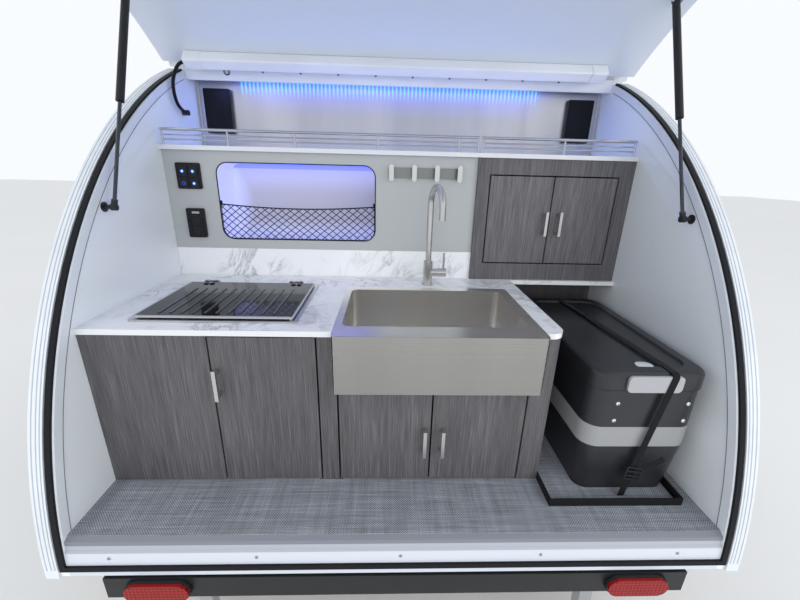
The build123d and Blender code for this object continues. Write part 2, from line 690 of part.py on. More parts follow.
# Gas struts: tube on the hatch, rod that slides in it down to the wall's stud
strut_dy = strut_foot[0] - strut_head[0]
strut_dz = strut_foot[1] - strut_head[1]
strut_length = hypot(strut_dy, strut_dz)
strut_dir = (0, strut_dy / strut_length, strut_dz / strut_length)
tube_end = strut_length - strut_rod_shown
for side, word in ((-1, "left"), (1, "right")):
    x = side * strut_x
    head_plane = Plane(origin=(x, strut_head[0], strut_head[1]), x_dir=(1, 0, 0), z_dir=strut_dir)
    with BuildPart() as strut_tube:
        with BuildSketch(head_plane.offset(13)):
            Circle(strut_tube_r)
        extrude(amount=tube_end - 13)
        with BuildSketch(side_plane(x - 7)):
            with Locations(strut_head):
                Circle(11)
        extrude(amount=14)
        with BuildSketch(head_plane):
            Circle(6.5)
        extrude(amount=16)
        with BuildSketch(side_plane(x - 8)):
            with Locations(strut_head):
                Circle(pin_r + 0.6)
        extrude(amount=16, mode=Mode.SUBTRACT)
        with BuildSketch(head_plane.offset(30)):
            Circle(strut_rod_r + 0.6)
        extrude(amount=tube_end, mode=Mode.SUBTRACT)
    save(strut_tube, f"strut_{word}_tube")
    foot_plane = head_plane.offset(strut_length)
    with BuildPart() as strut_rod:
        with BuildSketch(head_plane.offset(tube_end - 36)):
            Circle(strut_rod_r)
        extrude(amount=strut_rod_shown + 36 - 8)
        with BuildSketch(foot_plane.offset(-22)):
            Circle(8)
        extrude(amount=16)
        with BuildSketch(side_plane(x - 7)):
            with Locations(strut_foot):
                Circle(10)
        extrude(amount=14)
    save(strut_rod, f"strut_{word}_rod")

# Conduit from the left wall to the light bar
conduit_r = 6.0
conduit_points = [
    (x - inner_half, galley_y + y, floor_z + z) for x, y, z in (
        # in from the left wall, forwards of galley_y, above the galley's floor
        (48.5 - fit, 716, 1266), (29.5, 716, 1266), (17.5, 696, 1234), (15.5, 668, 1190),
        (15.5, 668, 1140), (15.5, 692, 1106), (15.5, 732 - fit, 1098))]
conduit_radii = []
for a, b, c in zip(conduit_points, conduit_points[1:], conduit_points[2:]):
    run_in = Vector(*b) - Vector(*a)
    run_out = Vector(*c) - Vector(*b)
    turn = radians(run_in.get_angle(run_out))
    conduit_radii.append(0.45 * min(run_in.length, run_out.length) / tan(turn / 2))
print("conduit radii", [round(r) for r in conduit_radii])
with BuildPart() as hatch_cable:
    with BuildLine() as conduit_line:
        FilletPolyline(*conduit_points, radius=conduit_radii)
    start = Vector(*conduit_points[0])
    with BuildSketch(Plane(origin=start, z_dir=Vector(*conduit_points[1]) - start)):
        Circle(conduit_r)
    sweep()
print("conduit volume ratio",
      round(hatch_cable.part.volume / (pi * conduit_r ** 2 * conduit_line.wire().length), 4))
save(hatch_cable, "hatch_cable")


pivot_in = 3.0              # pivot pins stand this far in from a door's edge and face
pivot_r = 1.5
pivot_clear = 0.4
pivot_length = door_gap + 4
pivot_depth = pivot_length - door_gap + 2


def pivot_pin(x, y, z, down=False):
    """Upright pivot pin from a frame into a door's edge; in the part being built."""
    with Locations((x, galley_y + y, floor_z + z)):
        Cylinder(pivot_r, pivot_length,
                 align=(Align.CENTER, Align.CENTER, Align.MAX if down else Align.MIN))


def pivot_holes(x, y, low, high):
    """Holes for the pivot pins in a door's lower and upper edges; in the part being built."""
    for z in (low, high):
        with Locations((x, galley_y + y, floor_z + z)):
            Cylinder(pivot_r + pivot_clear, 2 * pivot_depth, mode=Mode.SUBTRACT)


def bar_handle(x, front, low, high):
    """Upright bar handle on a door face, joined by two posts; in the part being built."""
    galley_box((x - 5, x + 5), (front - 30, front - 20), (low, high))
    for z in (low + 12, high - 12):
        galley_box((x - 5, x + 5), (front - 22, front), (z - 5, z + 5))


# Base cabinet: face frame with the fixed panel, ends, divider, top rails and back
sink_door_top = sink_z[0] - door_gap
door_top = counter_z - door_gap
base_pivots = (
    # pivot x, door's hinged edge towards the stile, top of the door
    (stile[0] - door_gap - pivot_in, stile[0], door_top),
    (sink_doors[0] + door_gap + pivot_in, sink_doors[0], sink_door_top),
    (sink_doors[2] - door_gap - pivot_in, sink_doors[2], sink_door_top),
)
sink_side = 60.0            # the sink's sides behind the cabinet's face hang this far
hob_cut = 18.0              # the hob's flange laps its cut-out by this
hob_depth = 42.0
hob_top = counter_top
with BuildPart() as base_cabinet:
    galley_box((-inner_half + fit, fixed_panel_right - door_gap), (0, board), (fit, counter_z - fit))
    galley_box((stile[0], stile[1]), (0, board), (fit, counter_z - fit))
    galley_box((sink_doors[2], cabinet_right), (0, board), (fit, counter_z - fit))
    galley_box((cabinet_right - board, cabinet_right), (board, galley_back), (fit, counter_z - fit))
    galley_box((stile[0] + 15, stile[0] + 15 + board), (board, galley_back), (fit, counter_z - fit))
    galley_box((-inner_half + fit, cabinet_right), (galley_back - board, galley_back),
               (fit, counter_z - fit))
    galley_box((-inner_half + fit, fixed_panel_right + 10), (board, 60), (counter_z - 40, counter_z - fit))
    galley_box((fixed_panel_right + 10, stile[0] + 15), (25, 60), (counter_z - 40, counter_z - fit))
    galley_box((fixed_panel_right - 23, fixed_panel_right - door_gap), (board, galley_back),
               (fit, counter_z - fit))
    # Notches that the sink's sides and the hob's pan hang in
    galley_box((sink_x[0] - fit, sink_x[1] + fit), (-1, sink_y[1] + fit),
               (counter_z - sink_side - fit, counter_z), mode=Mode.SUBTRACT)
    galley_box((hob_x[0] + hob_cut, hob_x[1] - hob_cut), (hob_y[0] + hob_cut, hob_y[1] - hob_cut),
               (hob_top - hob_depth - fit, counter_z), mode=Mode.SUBTRACT)
    # Pivot plates on the stiles, below and above the doors, with their pins
    for pivot_x, edge, top in base_pivots:
        near, far = sorted((edge, pivot_x + (3 if pivot_x > edge else -3)))
        galley_box((near, far), (pivot_in - 3 + fit, 12), (fit, 2))
        pivot_pin(pivot_x, pivot_in, 1)
        galley_box((near, far), (pivot_in - 3 + fit, 12), (top + door_gap - 2, top + door_gap - fit))
        pivot_pin(pivot_x, pivot_in, top + door_gap - 1, down=True)
save(base_cabinet, "base_cabinet")

base_doors = (
    # label, left, right, pivot, handle x, handle low, handle high
    ("galley_door", fixed_panel_right, stile[0] - door_gap, base_pivots[0], -511, door_top - 180,
     door_top - 87),
    ("sink_door_left", sink_doors[0] + door_gap, sink_doors[1] - door_gap / 2, base_pivots[1],
     64, sink_door_top - 214, sink_door_top - 124),
    ("sink_door_right", sink_doors[1] + door_gap / 2, sink_doors[2] - door_gap, base_pivots[2],
     117, sink_door_top - 214, sink_door_top - 124),
)
for label, left, right, pivot, handle_x, handle_low, handle_high in base_doors:
    pivot_x, edge, top = pivot
    with BuildPart() as base_door:
        galley_box((left, right), (0, board), (door_gap, top))
        bar_handle(handle_x, 0, handle_low, handle_high)
        pivot_holes(pivot_x, pivot_in, door_gap, top)
    save(base_door, label)

# Countertop with its upstand, cut for the sink and the hob
counter_right = 439.0       # end of its deep part
counter_nose = 4.0          # proud of the cabinet's doors
counter_corner = 40.0
shallow_y = 520.0           # front of the strip behind the tall space on the right
counter_back = galley_back + panel_thick
board_z = (counter_z, counter_z + counter_thick)
through_z = (board_z[0] - 5, board_z[1] + 5)
with BuildPart() as countertop:
    galley_box((-inner_half + fit, counter_right), (-counter_nose, counter_back), board_z)
    fillet(countertop.edges().filter_by(Axis.Z).sort_by(Axis.X)[-2:].sort_by(Axis.Y)[:1], radius=counter_corner)
    galley_box((counter_right - counter_corner, inner_half - fit), (shallow_y, counter_back), board_z)
    galley_box((-inner_half + fit, upper_x[0] - fit), (galley_back, counter_back), (counter_z, upstand_top - fit))
    galley_box((sink_x[0] - fit, sink_x[1] + fit), (-10, sink_y[1] + fit), through_z, mode=Mode.SUBTRACT)
    galley_box((hob_x[0] + hob_cut, hob_x[1] - hob_cut), (hob_y[0] + hob_cut, hob_y[1] - hob_cut), through_z,
               mode=Mode.SUBTRACT)
save(countertop, "countertop")

# Apron sink in folded sheet: rim and apron as an open tray turned down, bowl hung in it
sink_corner = 12.0          # upright edges of the apron
bowl_corner = 24.0          # upright corners and floor of the bowl
drain_r = 45.0
bowl_mid = ((bowl_x[0] + bowl_x[1]) / 2, galley_y + (bowl_y[0] + bowl_y[1]) / 2)


def rounded_bowl(grow, up):
    """The bowl's space, grown on all sides but the top, and raised over the rim."""
    with BuildPart() as form:
        with Locations((*bowl_mid, floor_z + sink_z[1] - bowl_depth - grow)):
            Box(bowl_x[1] - bowl_x[0] + 2 * grow, bowl_y[1] - bowl_y[0] + 2 * grow,
                bowl_depth + grow + up, align=(Align.CENTER, Align.CENTER, Align.MIN))
        fillet(form.edges().filter_by(Axis.Z), radius=bowl_corner + grow)
        fillet(form.edges().group_by(Axis.Z)[0], radius=bowl_corner / 2 + grow)
    return form.part


bowl_outside = rounded_bowl(sheet, 0)
bowl_inside = rounded_bowl(0, 1)
with BuildPart() as sink:
    galley_box(sink_x, sink_y, sink_z)
    fillet(sink.edges().filter_by(Axis.Z).group_by(Axis.Y)[0], radius=sink_corner)
    galley_box((sink_x[0] + sheet, sink_x[1] - sheet), (sink_y[0] + sheet, sink_y[1] - sheet),
               (sink_z[0] - 5, sink_z[1] - sheet), mode=Mode.SUBTRACT)
    # The sides behind the cabinet's face are only as deep as the counter
    galley_box((sink_x[0] - 5, sink_x[1] + 5), (-fit, sink_y[1] + 5),
               (sink_z[0] - 5, counter_z - sink_side), mode=Mode.SUBTRACT)
    add(bowl_outside)
    add(bowl_inside, mode=Mode.SUBTRACT)
    with Locations((*bowl_mid, floor_z + sink_z[1] - bowl_depth - sheet)):
        Cylinder(drain_r, 2 * sheet)
save(sink, "sink")

# Faucet: body, gooseneck with a flat-cut spout, side barrel and pin lever
faucet = (100.0, 451.0)
faucet_body = (17.5, 90.0)  # radius and height
neck_r = 11.0
neck_reach = 122.0
neck_lean = 0.22            # the spout turns this much to the right for each unit forwards
neck_top = 356.0
spout_drop = 42.0
barrel_up = 46.0
barrel_stages = ((15.0, 40.0), (16.5, 68.0))    # radius, and reach from the body's axis
lever = (4.0, 58.0, 74.0)   # radius, distance from the body's axis, and height over the barrel's
with BuildPart() as faucet_part:
    base = (faucet[0], galley_y + faucet[1], floor_z + counter_top + fit)
    with Locations(base):
        Cylinder(faucet_body[0] + 4, 3, align=(Align.CENTER, Align.CENTER, Align.MIN))
        Cylinder(*faucet_body, align=(Align.CENTER, Align.CENTER, Align.MIN))
    bend = neck_reach / 2
    neck_plane = Plane(origin=base, x_dir=(neck_lean, -1, 0), z_dir=(-1, -neck_lean, 0))
    with BuildLine(neck_plane) as neck_line:
        Line((0, barrel_up), (0, neck_top - bend))
        ThreePointArc((0, neck_top - bend), (bend, neck_top), (neck_reach, neck_top - bend))
        Line((neck_reach, neck_top - bend), (neck_reach, neck_top - bend - spout_drop))
    with BuildSketch(Plane(origin=neck_line.line @ 0, z_dir=(0, 0, 1))):
        Circle(neck_r)
    sweep()
    stage_start = 0
    for stage_r, stage_end in barrel_stages:
        with Locations((base[0] + (stage_start + stage_end) / 2, base[1], base[2] + barrel_up)):
            Cylinder(stage_r, stage_end - stage_start, rotation=(0, 90, 0))
        stage_start = stage_end
    with Locations((base[0] + lever[1], base[1], base[2] + barrel_up)):
        Cylinder(lever[0], lever[2], align=(Align.CENTER, Align.CENTER, Align.MIN))
save(faucet_part, "faucet")

# Hob: flange and pan in the counter, and two burners with their caps
hob_mid = ((hob_x[0] + hob_x[1]) / 2, (hob_y[0] + hob_y[1]) / 2)
hob_corner = 14.0
flange_top = hob_top + 5
burners = (
    # distance right of the hob's middle, radius
    (-105.0, 46.0), (105.0, 36.0),
)
burner_heights = (16.0, 24.0)       # crown and cap, over the pan's floor
lid_ears = (hob_mid[0] - 150, hob_mid[0] + 150)
lid_axis = (hob_y[1] - 7, hob_top + 11)
lid_pin_r = 2.5
ear = (12.0, 14.0, 13.0)            # thickness, depth and height of the hinge's ears
ear_gap = 24.0                      # between a pair
with BuildPart() as cooktop:
    galley_box(hob_x, hob_y, (hob_top + fit, flange_top))
    fillet(cooktop.edges().filter_by(Axis.Z), radius=hob_corner)
    pan_x = (hob_x[0] + hob_cut + fit, hob_x[1] - hob_cut - fit)
    pan_y = (hob_y[0] + hob_cut + fit, hob_y[1] - hob_cut - fit)
    galley_box(pan_x, pan_y, (hob_top - hob_depth, flange_top))
    galley_box((pan_x[0] + sheet, pan_x[1] - sheet), (pan_y[0] + sheet, pan_y[1] - sheet),
               (hob_top - hob_depth + sheet, flange_top + 5), mode=Mode.SUBTRACT)
    burner_z = hob_top - hob_depth + sheet / 2
    for burner_x, burner_r in burners:
        with Locations((hob_mid[0] + burner_x, galley_y + hob_mid[1] + 10, floor_z + burner_z)):
            Cylinder(burner_r, burner_heights[0], align=(Align.CENTER, Align.CENTER, Align.MIN))
            Cylinder(burner_r - 10, burner_heights[1], align=(Align.CENTER, Align.CENTER, Align.MIN))
    # Hinge ears for the lid
    for ear_x in lid_ears:
        for end in (-1, 1):
            ear_mid = ear_x + end * (ear_gap + ear[0]) / 2
            galley_box((ear_mid - ear[0] / 2, ear_mid + ear[0] / 2), (hob_y[1] - ear[1], hob_y[1]),
                       (flange_top - 1, flange_top + ear[2]))
        with Locations((ear_x, galley_y + lid_axis[0], floor_z + lid_axis[1])):
            Cylinder(lid_pin_r + pivot_clear, 60, rotation=(0, 90, 0), mode=Mode.SUBTRACT)
save(cooktop, "cooktop")

# Glass lid with ribs over its rear part, on two hinge straps and four rubber pads
glass_x = (hob_x[0] + 12, hob_x[1] - 12)
glass_y = (hob_y[0] + 10, hob_y[1] - 22)
glass_z = (flange_top + 4, flange_top + 9)
rib_count = 11
rib_pitch = 32.0
rib_size = (7.0, 2.0)               # width and height
rib_y = (hob_y[0] + 34, hob_y[1] - 100)
pad_r = 4.5
with BuildPart() as cooktop_lid:
    galley_box(glass_x, glass_y, glass_z)
    fillet(cooktop_lid.edges().filter_by(Axis.Z), radius=hob_corner - 4)
    for n in range(rib_count):
        rib_x = hob_mid[0] + (n - (rib_count - 1) / 2) * rib_pitch
        galley_box((rib_x - rib_size[0] / 2, rib_x + rib_size[0] / 2), rib_y,
                   (glass_z[1], glass_z[1] + rib_size[1]))
    for ear_x in lid_ears:
        galley_box((ear_x - 7, ear_x + 7), (hob_y[1] - 40, lid_axis[0]), (glass_z[0] - 1, glass_z[1]))
        with Locations((ear_x, galley_y + lid_axis[0], floor_z + lid_axis[1])):
            Cylinder(5, 14, rotation=(0, 90, 0))
            Cylinder(lid_pin_r, 44, rotation=(0, 90, 0))
    for pad_x in (glass_x[0] + 8, glass_x[1] - 8):
        for pad_y in (glass_y[0] + 8, glass_y[1] - 12):
            with Locations((pad_x, galley_y + pad_y, floor_z + flange_top + fit)):
                Cylinder(pad_r, glass_z[0] - flange_top, align=(Align.CENTER, Align.CENTER, Align.MIN))
save(cooktop_lid, "cooktop_lid")

# Upper cabinet: face frame and open-backed box against the bulkhead
upper_back = bulkhead_face - fit
with BuildPart() as upper_cabinet:
    galley_box(upper_x, (upper_front, upper_back), (upper_z[0] + fit, upper_z[1] - fit))
    galley_box((upper_x[0] + board, upper_x[1] - board), (upper_front + board, upper_back + 5),
               (upper_z[0] + fit + board, upper_z[1] - fit - board), mode=Mode.SUBTRACT)
    galley_box((upper_doors[0], upper_doors[2]), (upper_front - 5, upper_front + board + 5), upper_door_z,
               mode=Mode.SUBTRACT)
    for pivot_x in (upper_doors[0] + door_gap + pivot_in, upper_doors[2] - door_gap - pivot_in):
        pivot_pin(pivot_x, upper_front + pivot_in, upper_door_z[0])
        pivot_pin(pivot_x, upper_front + pivot_in, upper_door_z[1], down=True)
save(upper_cabinet, "upper_cabinet")

upper_leaves = (
    # label, left, right, pivot x, handle x
    ("upper_door_left", upper_doors[0] + door_gap, upper_doors[1] - door_gap / 2,
     upper_doors[0] + door_gap + pivot_in, 547),
    ("upper_door_right", upper_doors[1] + door_gap / 2, upper_doors[2] - door_gap,
     upper_doors[2] - door_gap - pivot_in, 601),
)
for label, left, right, pivot_x, handle_x in upper_leaves:
    with BuildPart() as upper_door:
        galley_box((left, right), (upper_front, upper_front + board),
                   (upper_door_z[0] + door_gap, upper_door_z[1] - door_gap))
        bar_handle(handle_x, upper_front, upper_door_z[0] + 115, upper_door_z[0] + 205)
        pivot_holes(pivot_x, upper_front + pivot_in, upper_door_z[0] + door_gap, upper_door_z[1] - door_gap)
    save(upper_door, label)

# Grey panel with the lit niche
with BuildPart() as niche_panel:
    panel_plane = Plane(origin=(0, galley_y + galley_back, floor_z), x_dir=(1, 0, 0), z_dir=(0, -1, 0))
    niche_mid = ((niche_x[0] + niche_x[1]) / 2, (niche_z[0] + niche_z[1]) / 2)
    niche_size = (niche_x[1] - niche_x[0], niche_z[1] - niche_z[0])
    with BuildSketch(panel_plane):
        with Locations(((-inner_half + upper_x[0]) / 2, (upstand_top + shelf_z) / 2)):
            Rectangle(upper_x[0] + inner_half - 2 * fit, shelf_z - upstand_top - 2 * fit)
    extrude(amount=-panel_thick)
    with BuildSketch(panel_plane.offset(-panel_thick + 1)):
        with Locations(niche_mid):
            RectangleRounded(niche_size[0] + 12, niche_size[1] + 12, niche_corner + 6)
    extrude(amount=-niche_depth)
    with BuildSketch(panel_plane.offset(5)):
        with Locations(niche_mid):
            RectangleRounded(*niche_size, niche_corner)
    extrude(amount=-niche_depth - 10, mode=Mode.SUBTRACT)
save(niche_panel, "niche_panel")

# Net across the lower half of the niche
net_top = niche_z[0] + 130
with BuildPart() as niche_net:
    with BuildSketch(panel_plane.offset(-1)):
        with Locations(niche_mid):
            RectangleRounded(niche_size[0] - 1, niche_size[1] - 1, niche_corner)
        with Locations((niche_mid[0], net_top - 200)):
            Rectangle(niche_size[0], 400, mode=Mode.INTERSECT)
    extrude(amount=-3)
save(niche_net, "niche_net")

# Shelf over the upper cabinet and the grey panel
with BuildPart() as galley_shelf:
    galley_box((-inner_half + fit, inner_half - fit), (524, bulkhead_face - fit),
               (shelf_z, shelf_z + shelf_thick))
save(galley_shelf, "galley_shelf")

# Gallery rail on the shelf's front edge, in two lengths that meet over the upper cabinet's side
rail_end = inner_half - 18.5
rail_joint = 8.0            # half the gap between the two lengths
rail_lengths = (
    # left end, right end, posts
    (-rail_end, upper_x[0] - rail_joint, (-rail_end, -620, -385, -90, 200, upper_x[0] - rail_joint)),
    (upper_x[0] + rail_joint, rail_end, (upper_x[0] + rail_joint, 585, rail_end)),
)
rail_y = 534.0
rail_post = (3.5, 50.0)     # radius and height
rail_foot = (6.0, 3.0)
rail_bars = (
    # height over the shelf, radius
    (18.0, 2.5), (33.0, 2.5), (51.0, 5.0),
)
rail_z = floor_z + shelf_z + shelf_thick
with BuildPart() as gallery_rail:
    for left, right, posts in rail_lengths:
        for post_x in posts:
            with Locations((post_x, galley_y + rail_y, rail_z + fit)):
                Cylinder(*rail_foot, align=(Align.CENTER, Align.CENTER, Align.MIN))
                Cylinder(*rail_post, align=(Align.CENTER, Align.CENTER, Align.MIN))
        for bar_up, bar_r in rail_bars:
            with Locations(((left + right) / 2, galley_y + rail_y, rail_z + bar_up)):
                Cylinder(bar_r, right - left + 2 * rail_post[0], rotation=(0, 90, 0))
save(gallery_rail, "gallery_rail")

# Brushed aluminium back panel above the shelf
skin = 3.0
skin_face = bulkhead_face - fit - skin
skin_top = 1262.0
with BuildPart() as rear_panel:
    galley_box((-inner_half + fit, inner_half - fit), (skin_face, bulkhead_face - fit),
               (shelf_z + shelf_thick + fit, skin_top))
save(rear_panel, "rear_panel")

# Fittings on the panels: speakers, switch panel, outlet and hook rail
speaker = (110.0, 172.0, 18.4)      # width, height and depth
speaker_up = 166.0                  # its middle above the shelf's underside
switch_plate = (86.0, 91.0, 7.7)
switch_down = 88.5                  # its middle below the shelf's underside
outlet = (65.0, 108.0, 11.7)
outlet_down = switch_down + 168.5   # its middle below the shelf's underside
plate_corner = 6.0
hook_plate = (268.0, 38.0, 4.0)
hook_plate_x = 83.0
hook_down = 60.0                    # the plate's middle below the shelf's underside
hook_pitch = 83.0
hook_blade = (17.0, 58.0, 5.0)      # width, height and thickness of the oval blades
hook_reach = 34.0                   # from the panel to a blade's face
panel_fittings = (
    # middle x, middle z, width, height, depth, y of the panel behind, corner radius
    (88.5 - inner_half, shelf_z + speaker_up, *speaker, skin_face, plate_corner),
    (inner_half - 88.5, shelf_z + speaker_up, *speaker, skin_face, plate_corner),
    (86.5 - inner_half, shelf_z - switch_down, *switch_plate, galley_back, plate_corner),
    (92.0 - inner_half, shelf_z - outlet_down, *outlet, galley_back, plate_corner),
    (hook_plate_x, shelf_z - hook_down, *hook_plate, galley_back, 3.0),
)
with BuildPart() as galley_fittings:
    for x, z, width, height, depth, seat_y, corner in panel_fittings:
        with BuildSketch(Plane(origin=(x, galley_y + seat_y - fit, floor_z + z), x_dir=(1, 0, 0),
                               z_dir=(0, -1, 0))):
            RectangleRounded(width, height, corner)
        extrude(amount=depth)
    # Four hooks: a lug from the plate to an oval blade that stands clear of it
    for n in range(4):
        hook_x = hook_plate_x + (n - 1.5) * hook_pitch
        hook_z = shelf_z - hook_down
        galley_box((hook_x - 4, hook_x + 4), (galley_back - hook_reach + 1, galley_back - hook_plate[2]),
                   (hook_z - 22, hook_z - 12))
        with BuildSketch(Plane(origin=(hook_x, galley_y + galley_back - hook_reach, floor_z + hook_z),
                               x_dir=(0, 0, 1), z_dir=(0, 1, 0))):
            SlotOverall(hook_blade[1], hook_blade[0])
        extrude(amount=hook_blade[2])
save(galley_fittings, "galley_fittings")

# Cooler box on its tray, with the strap that holds it down
with BuildPart() as fridge_tray:
    galley_box(tray_x, tray_y, (fit, tray_height))
    galley_box((tray_x[0] + tray_wall, tray_x[1] - tray_wall),
               (tray_y[0] + tray_wall, tray_y[1] - tray_wall),
               (tray_wall, tray_height + 5), mode=Mode.SUBTRACT)
save(fridge_tray, "fridge_tray")

cooler_mid = ((cooler_x[0] + cooler_x[1]) / 2, galley_y + (cooler_y[0] + cooler_y[1]) / 2)
cooler_size = (cooler_x[1] - cooler_x[0], cooler_y[1] - cooler_y[0])
cooler_corner = 48.0
cooler_seam = 358.0         # underside of the lid
cooler_shoulder = 172.0     # the body narrows below this height
cooler_taper = 21.0         # inwards on each side at the base
body_inset = 3.0            # the body above its shoulder, inside the lid's outline
lid_groove = (7.0, 3.0)     # depth and height of the groove under the lid
lid_edge = 14.0
lid_recess = (44.0, 6.0)    # width of the rim round the lid's recess, and its depth
latch = (595.0, 745.0)      # left and right ends
latch_z = (cooler_seam - 2, cooler_z[1] - 6)
latch_out = 8.0


def cooler_section(z, inset, corner):
    """The cooler's outline at a height over the galley floor."""
    with BuildSketch(Plane.XY.offset(floor_z + z)) as outline:
        with Locations(cooler_mid):
            RectangleRounded(cooler_size[0] - 2 * inset, cooler_size[1] - 2 * inset, corner)
    return outline.sketch


with BuildPart() as fridge:
    loft(sections=[cooler_section(cooler_z[0], cooler_taper, cooler_corner - 10).face(),
                   cooler_section(cooler_shoulder, body_inset, cooler_corner).face()])
    extrude(cooler_section(cooler_shoulder, body_inset, cooler_corner),
            amount=cooler_seam - cooler_shoulder - lid_groove[1])
    extrude(cooler_section(cooler_seam - lid_groove[1] - 1, lid_groove[0], cooler_corner - 4),
            amount=lid_groove[1] + 2)
    extrude(cooler_section(cooler_seam, 0, cooler_corner), amount=cooler_z[1] - cooler_seam)
    fillet(fridge.edges().group_by(Axis.Z)[-1], radius=lid_edge)
    extrude(cooler_section(cooler_z[1] - lid_recess[1], lid_recess[0], cooler_corner - 12),
            amount=lid_recess[1] + 1, taper=-45, mode=Mode.SUBTRACT)
    # Latch across the lid's front
    with BuildSketch(Plane(origin=(0, galley_y + cooler_y[0] - latch_out, floor_z), x_dir=(1, 0, 0),
                           z_dir=(0, -1, 0))):
        with Locations(((latch[0] + latch[1]) / 2, (latch_z[0] + latch_z[1]) / 2)):
            RectangleRounded(latch[1] - latch[0], latch_z[1] - latch_z[0], 12)
    extrude(amount=-latch_out - lid_edge)
save(fridge, "fridge")

strap_x = (666.0, 722.0, 650.0)     # at the back, over the lid's front edge, and at the foot in front
strap_width = 38.0
strap_thick = 2.0
strap_out = 9.0             # the strap's front clears the latch
strap_z = (tray_wall + fit, cooler_z[1] + 0.5 + strap_thick)
strap_y = (cooler_y[0] - strap_out - strap_thick, cooler_y[1] + 0.5 + strap_thick)
strap_half = strap_width / 2
with BuildPart() as fridge_strap:
    with BuildSketch(Plane.XY.offset(floor_z + strap_z[1] - strap_thick)):
        with BuildLine():
            Polyline((strap_x[1] - strap_half, galley_y + strap_y[0]),
                     (strap_x[1] + strap_half, galley_y + strap_y[0]),
                     (strap_x[0] + strap_half, galley_y + strap_y[1]),
                     (strap_x[0] - strap_half, galley_y + strap_y[1]), close=True)
        make_face()
    extrude(amount=strap_thick)
    with BuildSketch(Plane(origin=(0, galley_y + strap_y[0], floor_z), x_dir=(1, 0, 0), z_dir=(0, -1, 0))):
        with BuildLine():
            Polyline((strap_x[1] - strap_half, strap_z[1]), (strap_x[1] + strap_half, strap_z[1]),
                     (strap_x[2] + strap_half, strap_z[0]), (strap_x[2] - strap_half, strap_z[0]), close=True)
        make_face()
    extrude(amount=-strap_thick)
    galley_box((strap_x[0] - strap_half, strap_x[0] + strap_half), (strap_y[1] - strap_thick, strap_y[1]),
               strap_z)
save(fridge_strap, "fridge_strap")

# Chassis: channel rails, cross members, A-frame tongue, bumper, leg brackets and coupler
rail_top = floor_top - floor_thick - fit
rail_low = rail_top - rail_height
ball_z = rail_low + ball_up
cross_tube = (50.0, 75.0)           # width and height
cross_places = (rail_back, galley_y + 640, galley_y + 1720, rail_front - cross_tube[0])
bumper = (780.0, 50.0, 70.0)        # half length, depth and height
gusset_thick = 8.0
gusset_run = 250.0
gusset_half = 35.0                  # half its width at the coupler
bottle_tray = (500.0, 340.0, 6.0)
coupler = (78.0, 200.0, 64.0)
coupler_cup_r = 42.0
ball_clear = 0.4
latch_lever = (22.0, 96.0, 9.0)
leg_plate = 6.0
leg_plate_y = (leg_y - 45, leg_y + 30)
with BuildPart() as chassis_frame:
    for side in (-1, 1):
        web = side * (rail_x + rail_width / 2)
        lips = side * (rail_x - rail_width / 2)
        box_between(sorted((lips, web)), (rail_back, rail_front), (rail_low, rail_top))
        box_between(sorted((lips - side, web - side * rail_wall)), (rail_back - 1, rail_front + 1),
                    (rail_low + rail_wall, rail_top - rail_wall), mode=Mode.SUBTRACT)
    for cross_y in cross_places:
        box_between((-rail_x + 10, rail_x - 10), (cross_y, cross_y + cross_tube[0]),
                    (rail_top - cross_tube[1], rail_top))
    # Tongue tubes, mitred on the middle
    half = radians(tongue_half_angle)
    tube_run = (tongue_apex_y - rail_front + 180) / cos(half)
    for side in (-1, 1):
        tongue_plane = Plane(origin=(side * 30, tongue_apex_y, rail_low + tongue_tube[1] / 2),
                             x_dir=(cos(half), side * sin(half), 0),
                             z_dir=(side * sin(half), -cos(half), 0))
        with BuildSketch(tongue_plane):
            Rectangle(*tongue_tube)
        extrude(amount=tube_run)
    # Gusset plate that carries the coupler and the jack, and the bottle's tray
    with BuildSketch(Plane.XY.offset(rail_low + tongue_tube[1])):
        with BuildLine():
            far = tongue_apex_y - 10
            wide = gusset_half + gusset_run * tan(half)
            Polyline((-gusset_half, far), (gusset_half, far), (wide, far - gusset_run),
                     (-wide, far - gusset_run), close=True)
        make_face()
        with Locations((0, jack_y)):
            Circle(jack_tube_r + 0.5, mode=Mode.SUBTRACT)
    extrude(amount=gusset_thick)
    with Locations((0, bottle_y, rail_low + tongue_tube[1])):
        Box(*bottle_tray, align=(Align.CENTER, Align.CENTER, Align.MIN))
    # Coupler with its cup for the ball, and the latch lever on top
    coupler_z = rail_low + tongue_tube[1] / 2 + 8
    with Locations((0, ball_y - 90, coupler_z)):
        Box(*coupler)
    with Locations((0, ball_y, ball_z + 5)):
        Cylinder(coupler_cup_r, 70)
    with Locations((0, ball_y - 40, coupler_z + coupler[2] / 2 + 12)):
        Box(latch_lever[0], 18, 26)
    with Locations(Location((0, ball_y - 82, coupler_z + coupler[2] / 2 + 26), (-8, 0, 0))):
        Box(*latch_lever)
    with Locations((0, ball_y, ball_z)):
        Sphere(ball_r + ball_clear, mode=Mode.SUBTRACT)
        Cylinder(ball_r + ball_clear, 60, align=(Align.CENTER, Align.CENTER, Align.MAX), mode=Mode.SUBTRACT)
    # Rear bumper tube and the brackets of the drop legs
    box_between((-bumper[0], bumper[0]), (rail_back - bumper[1], rail_back),
                (rail_low, rail_low + bumper[2]))
    for side in (-1, 1):
        for plate in (-1, 1):
            plate_x = side * leg_x + plate * (leg_tube / 2 + 1 + leg_plate / 2)
            box_between((plate_x - leg_plate / 2, plate_x + leg_plate / 2), leg_plate_y,
                        (rail_low - 5, rail_top - 30))
        # Web from the brackets to the rail
        box_between(sorted((side * (leg_x - leg_tube / 2 - 1 - leg_plate),
                            side * (rail_x + rail_width / 2 - rail_wall))),
                    (leg_plate_y[0], leg_plate_y[0] + leg_plate), (rail_low + 8, rail_top - 30))
save(chassis_frame, "chassis_frame")

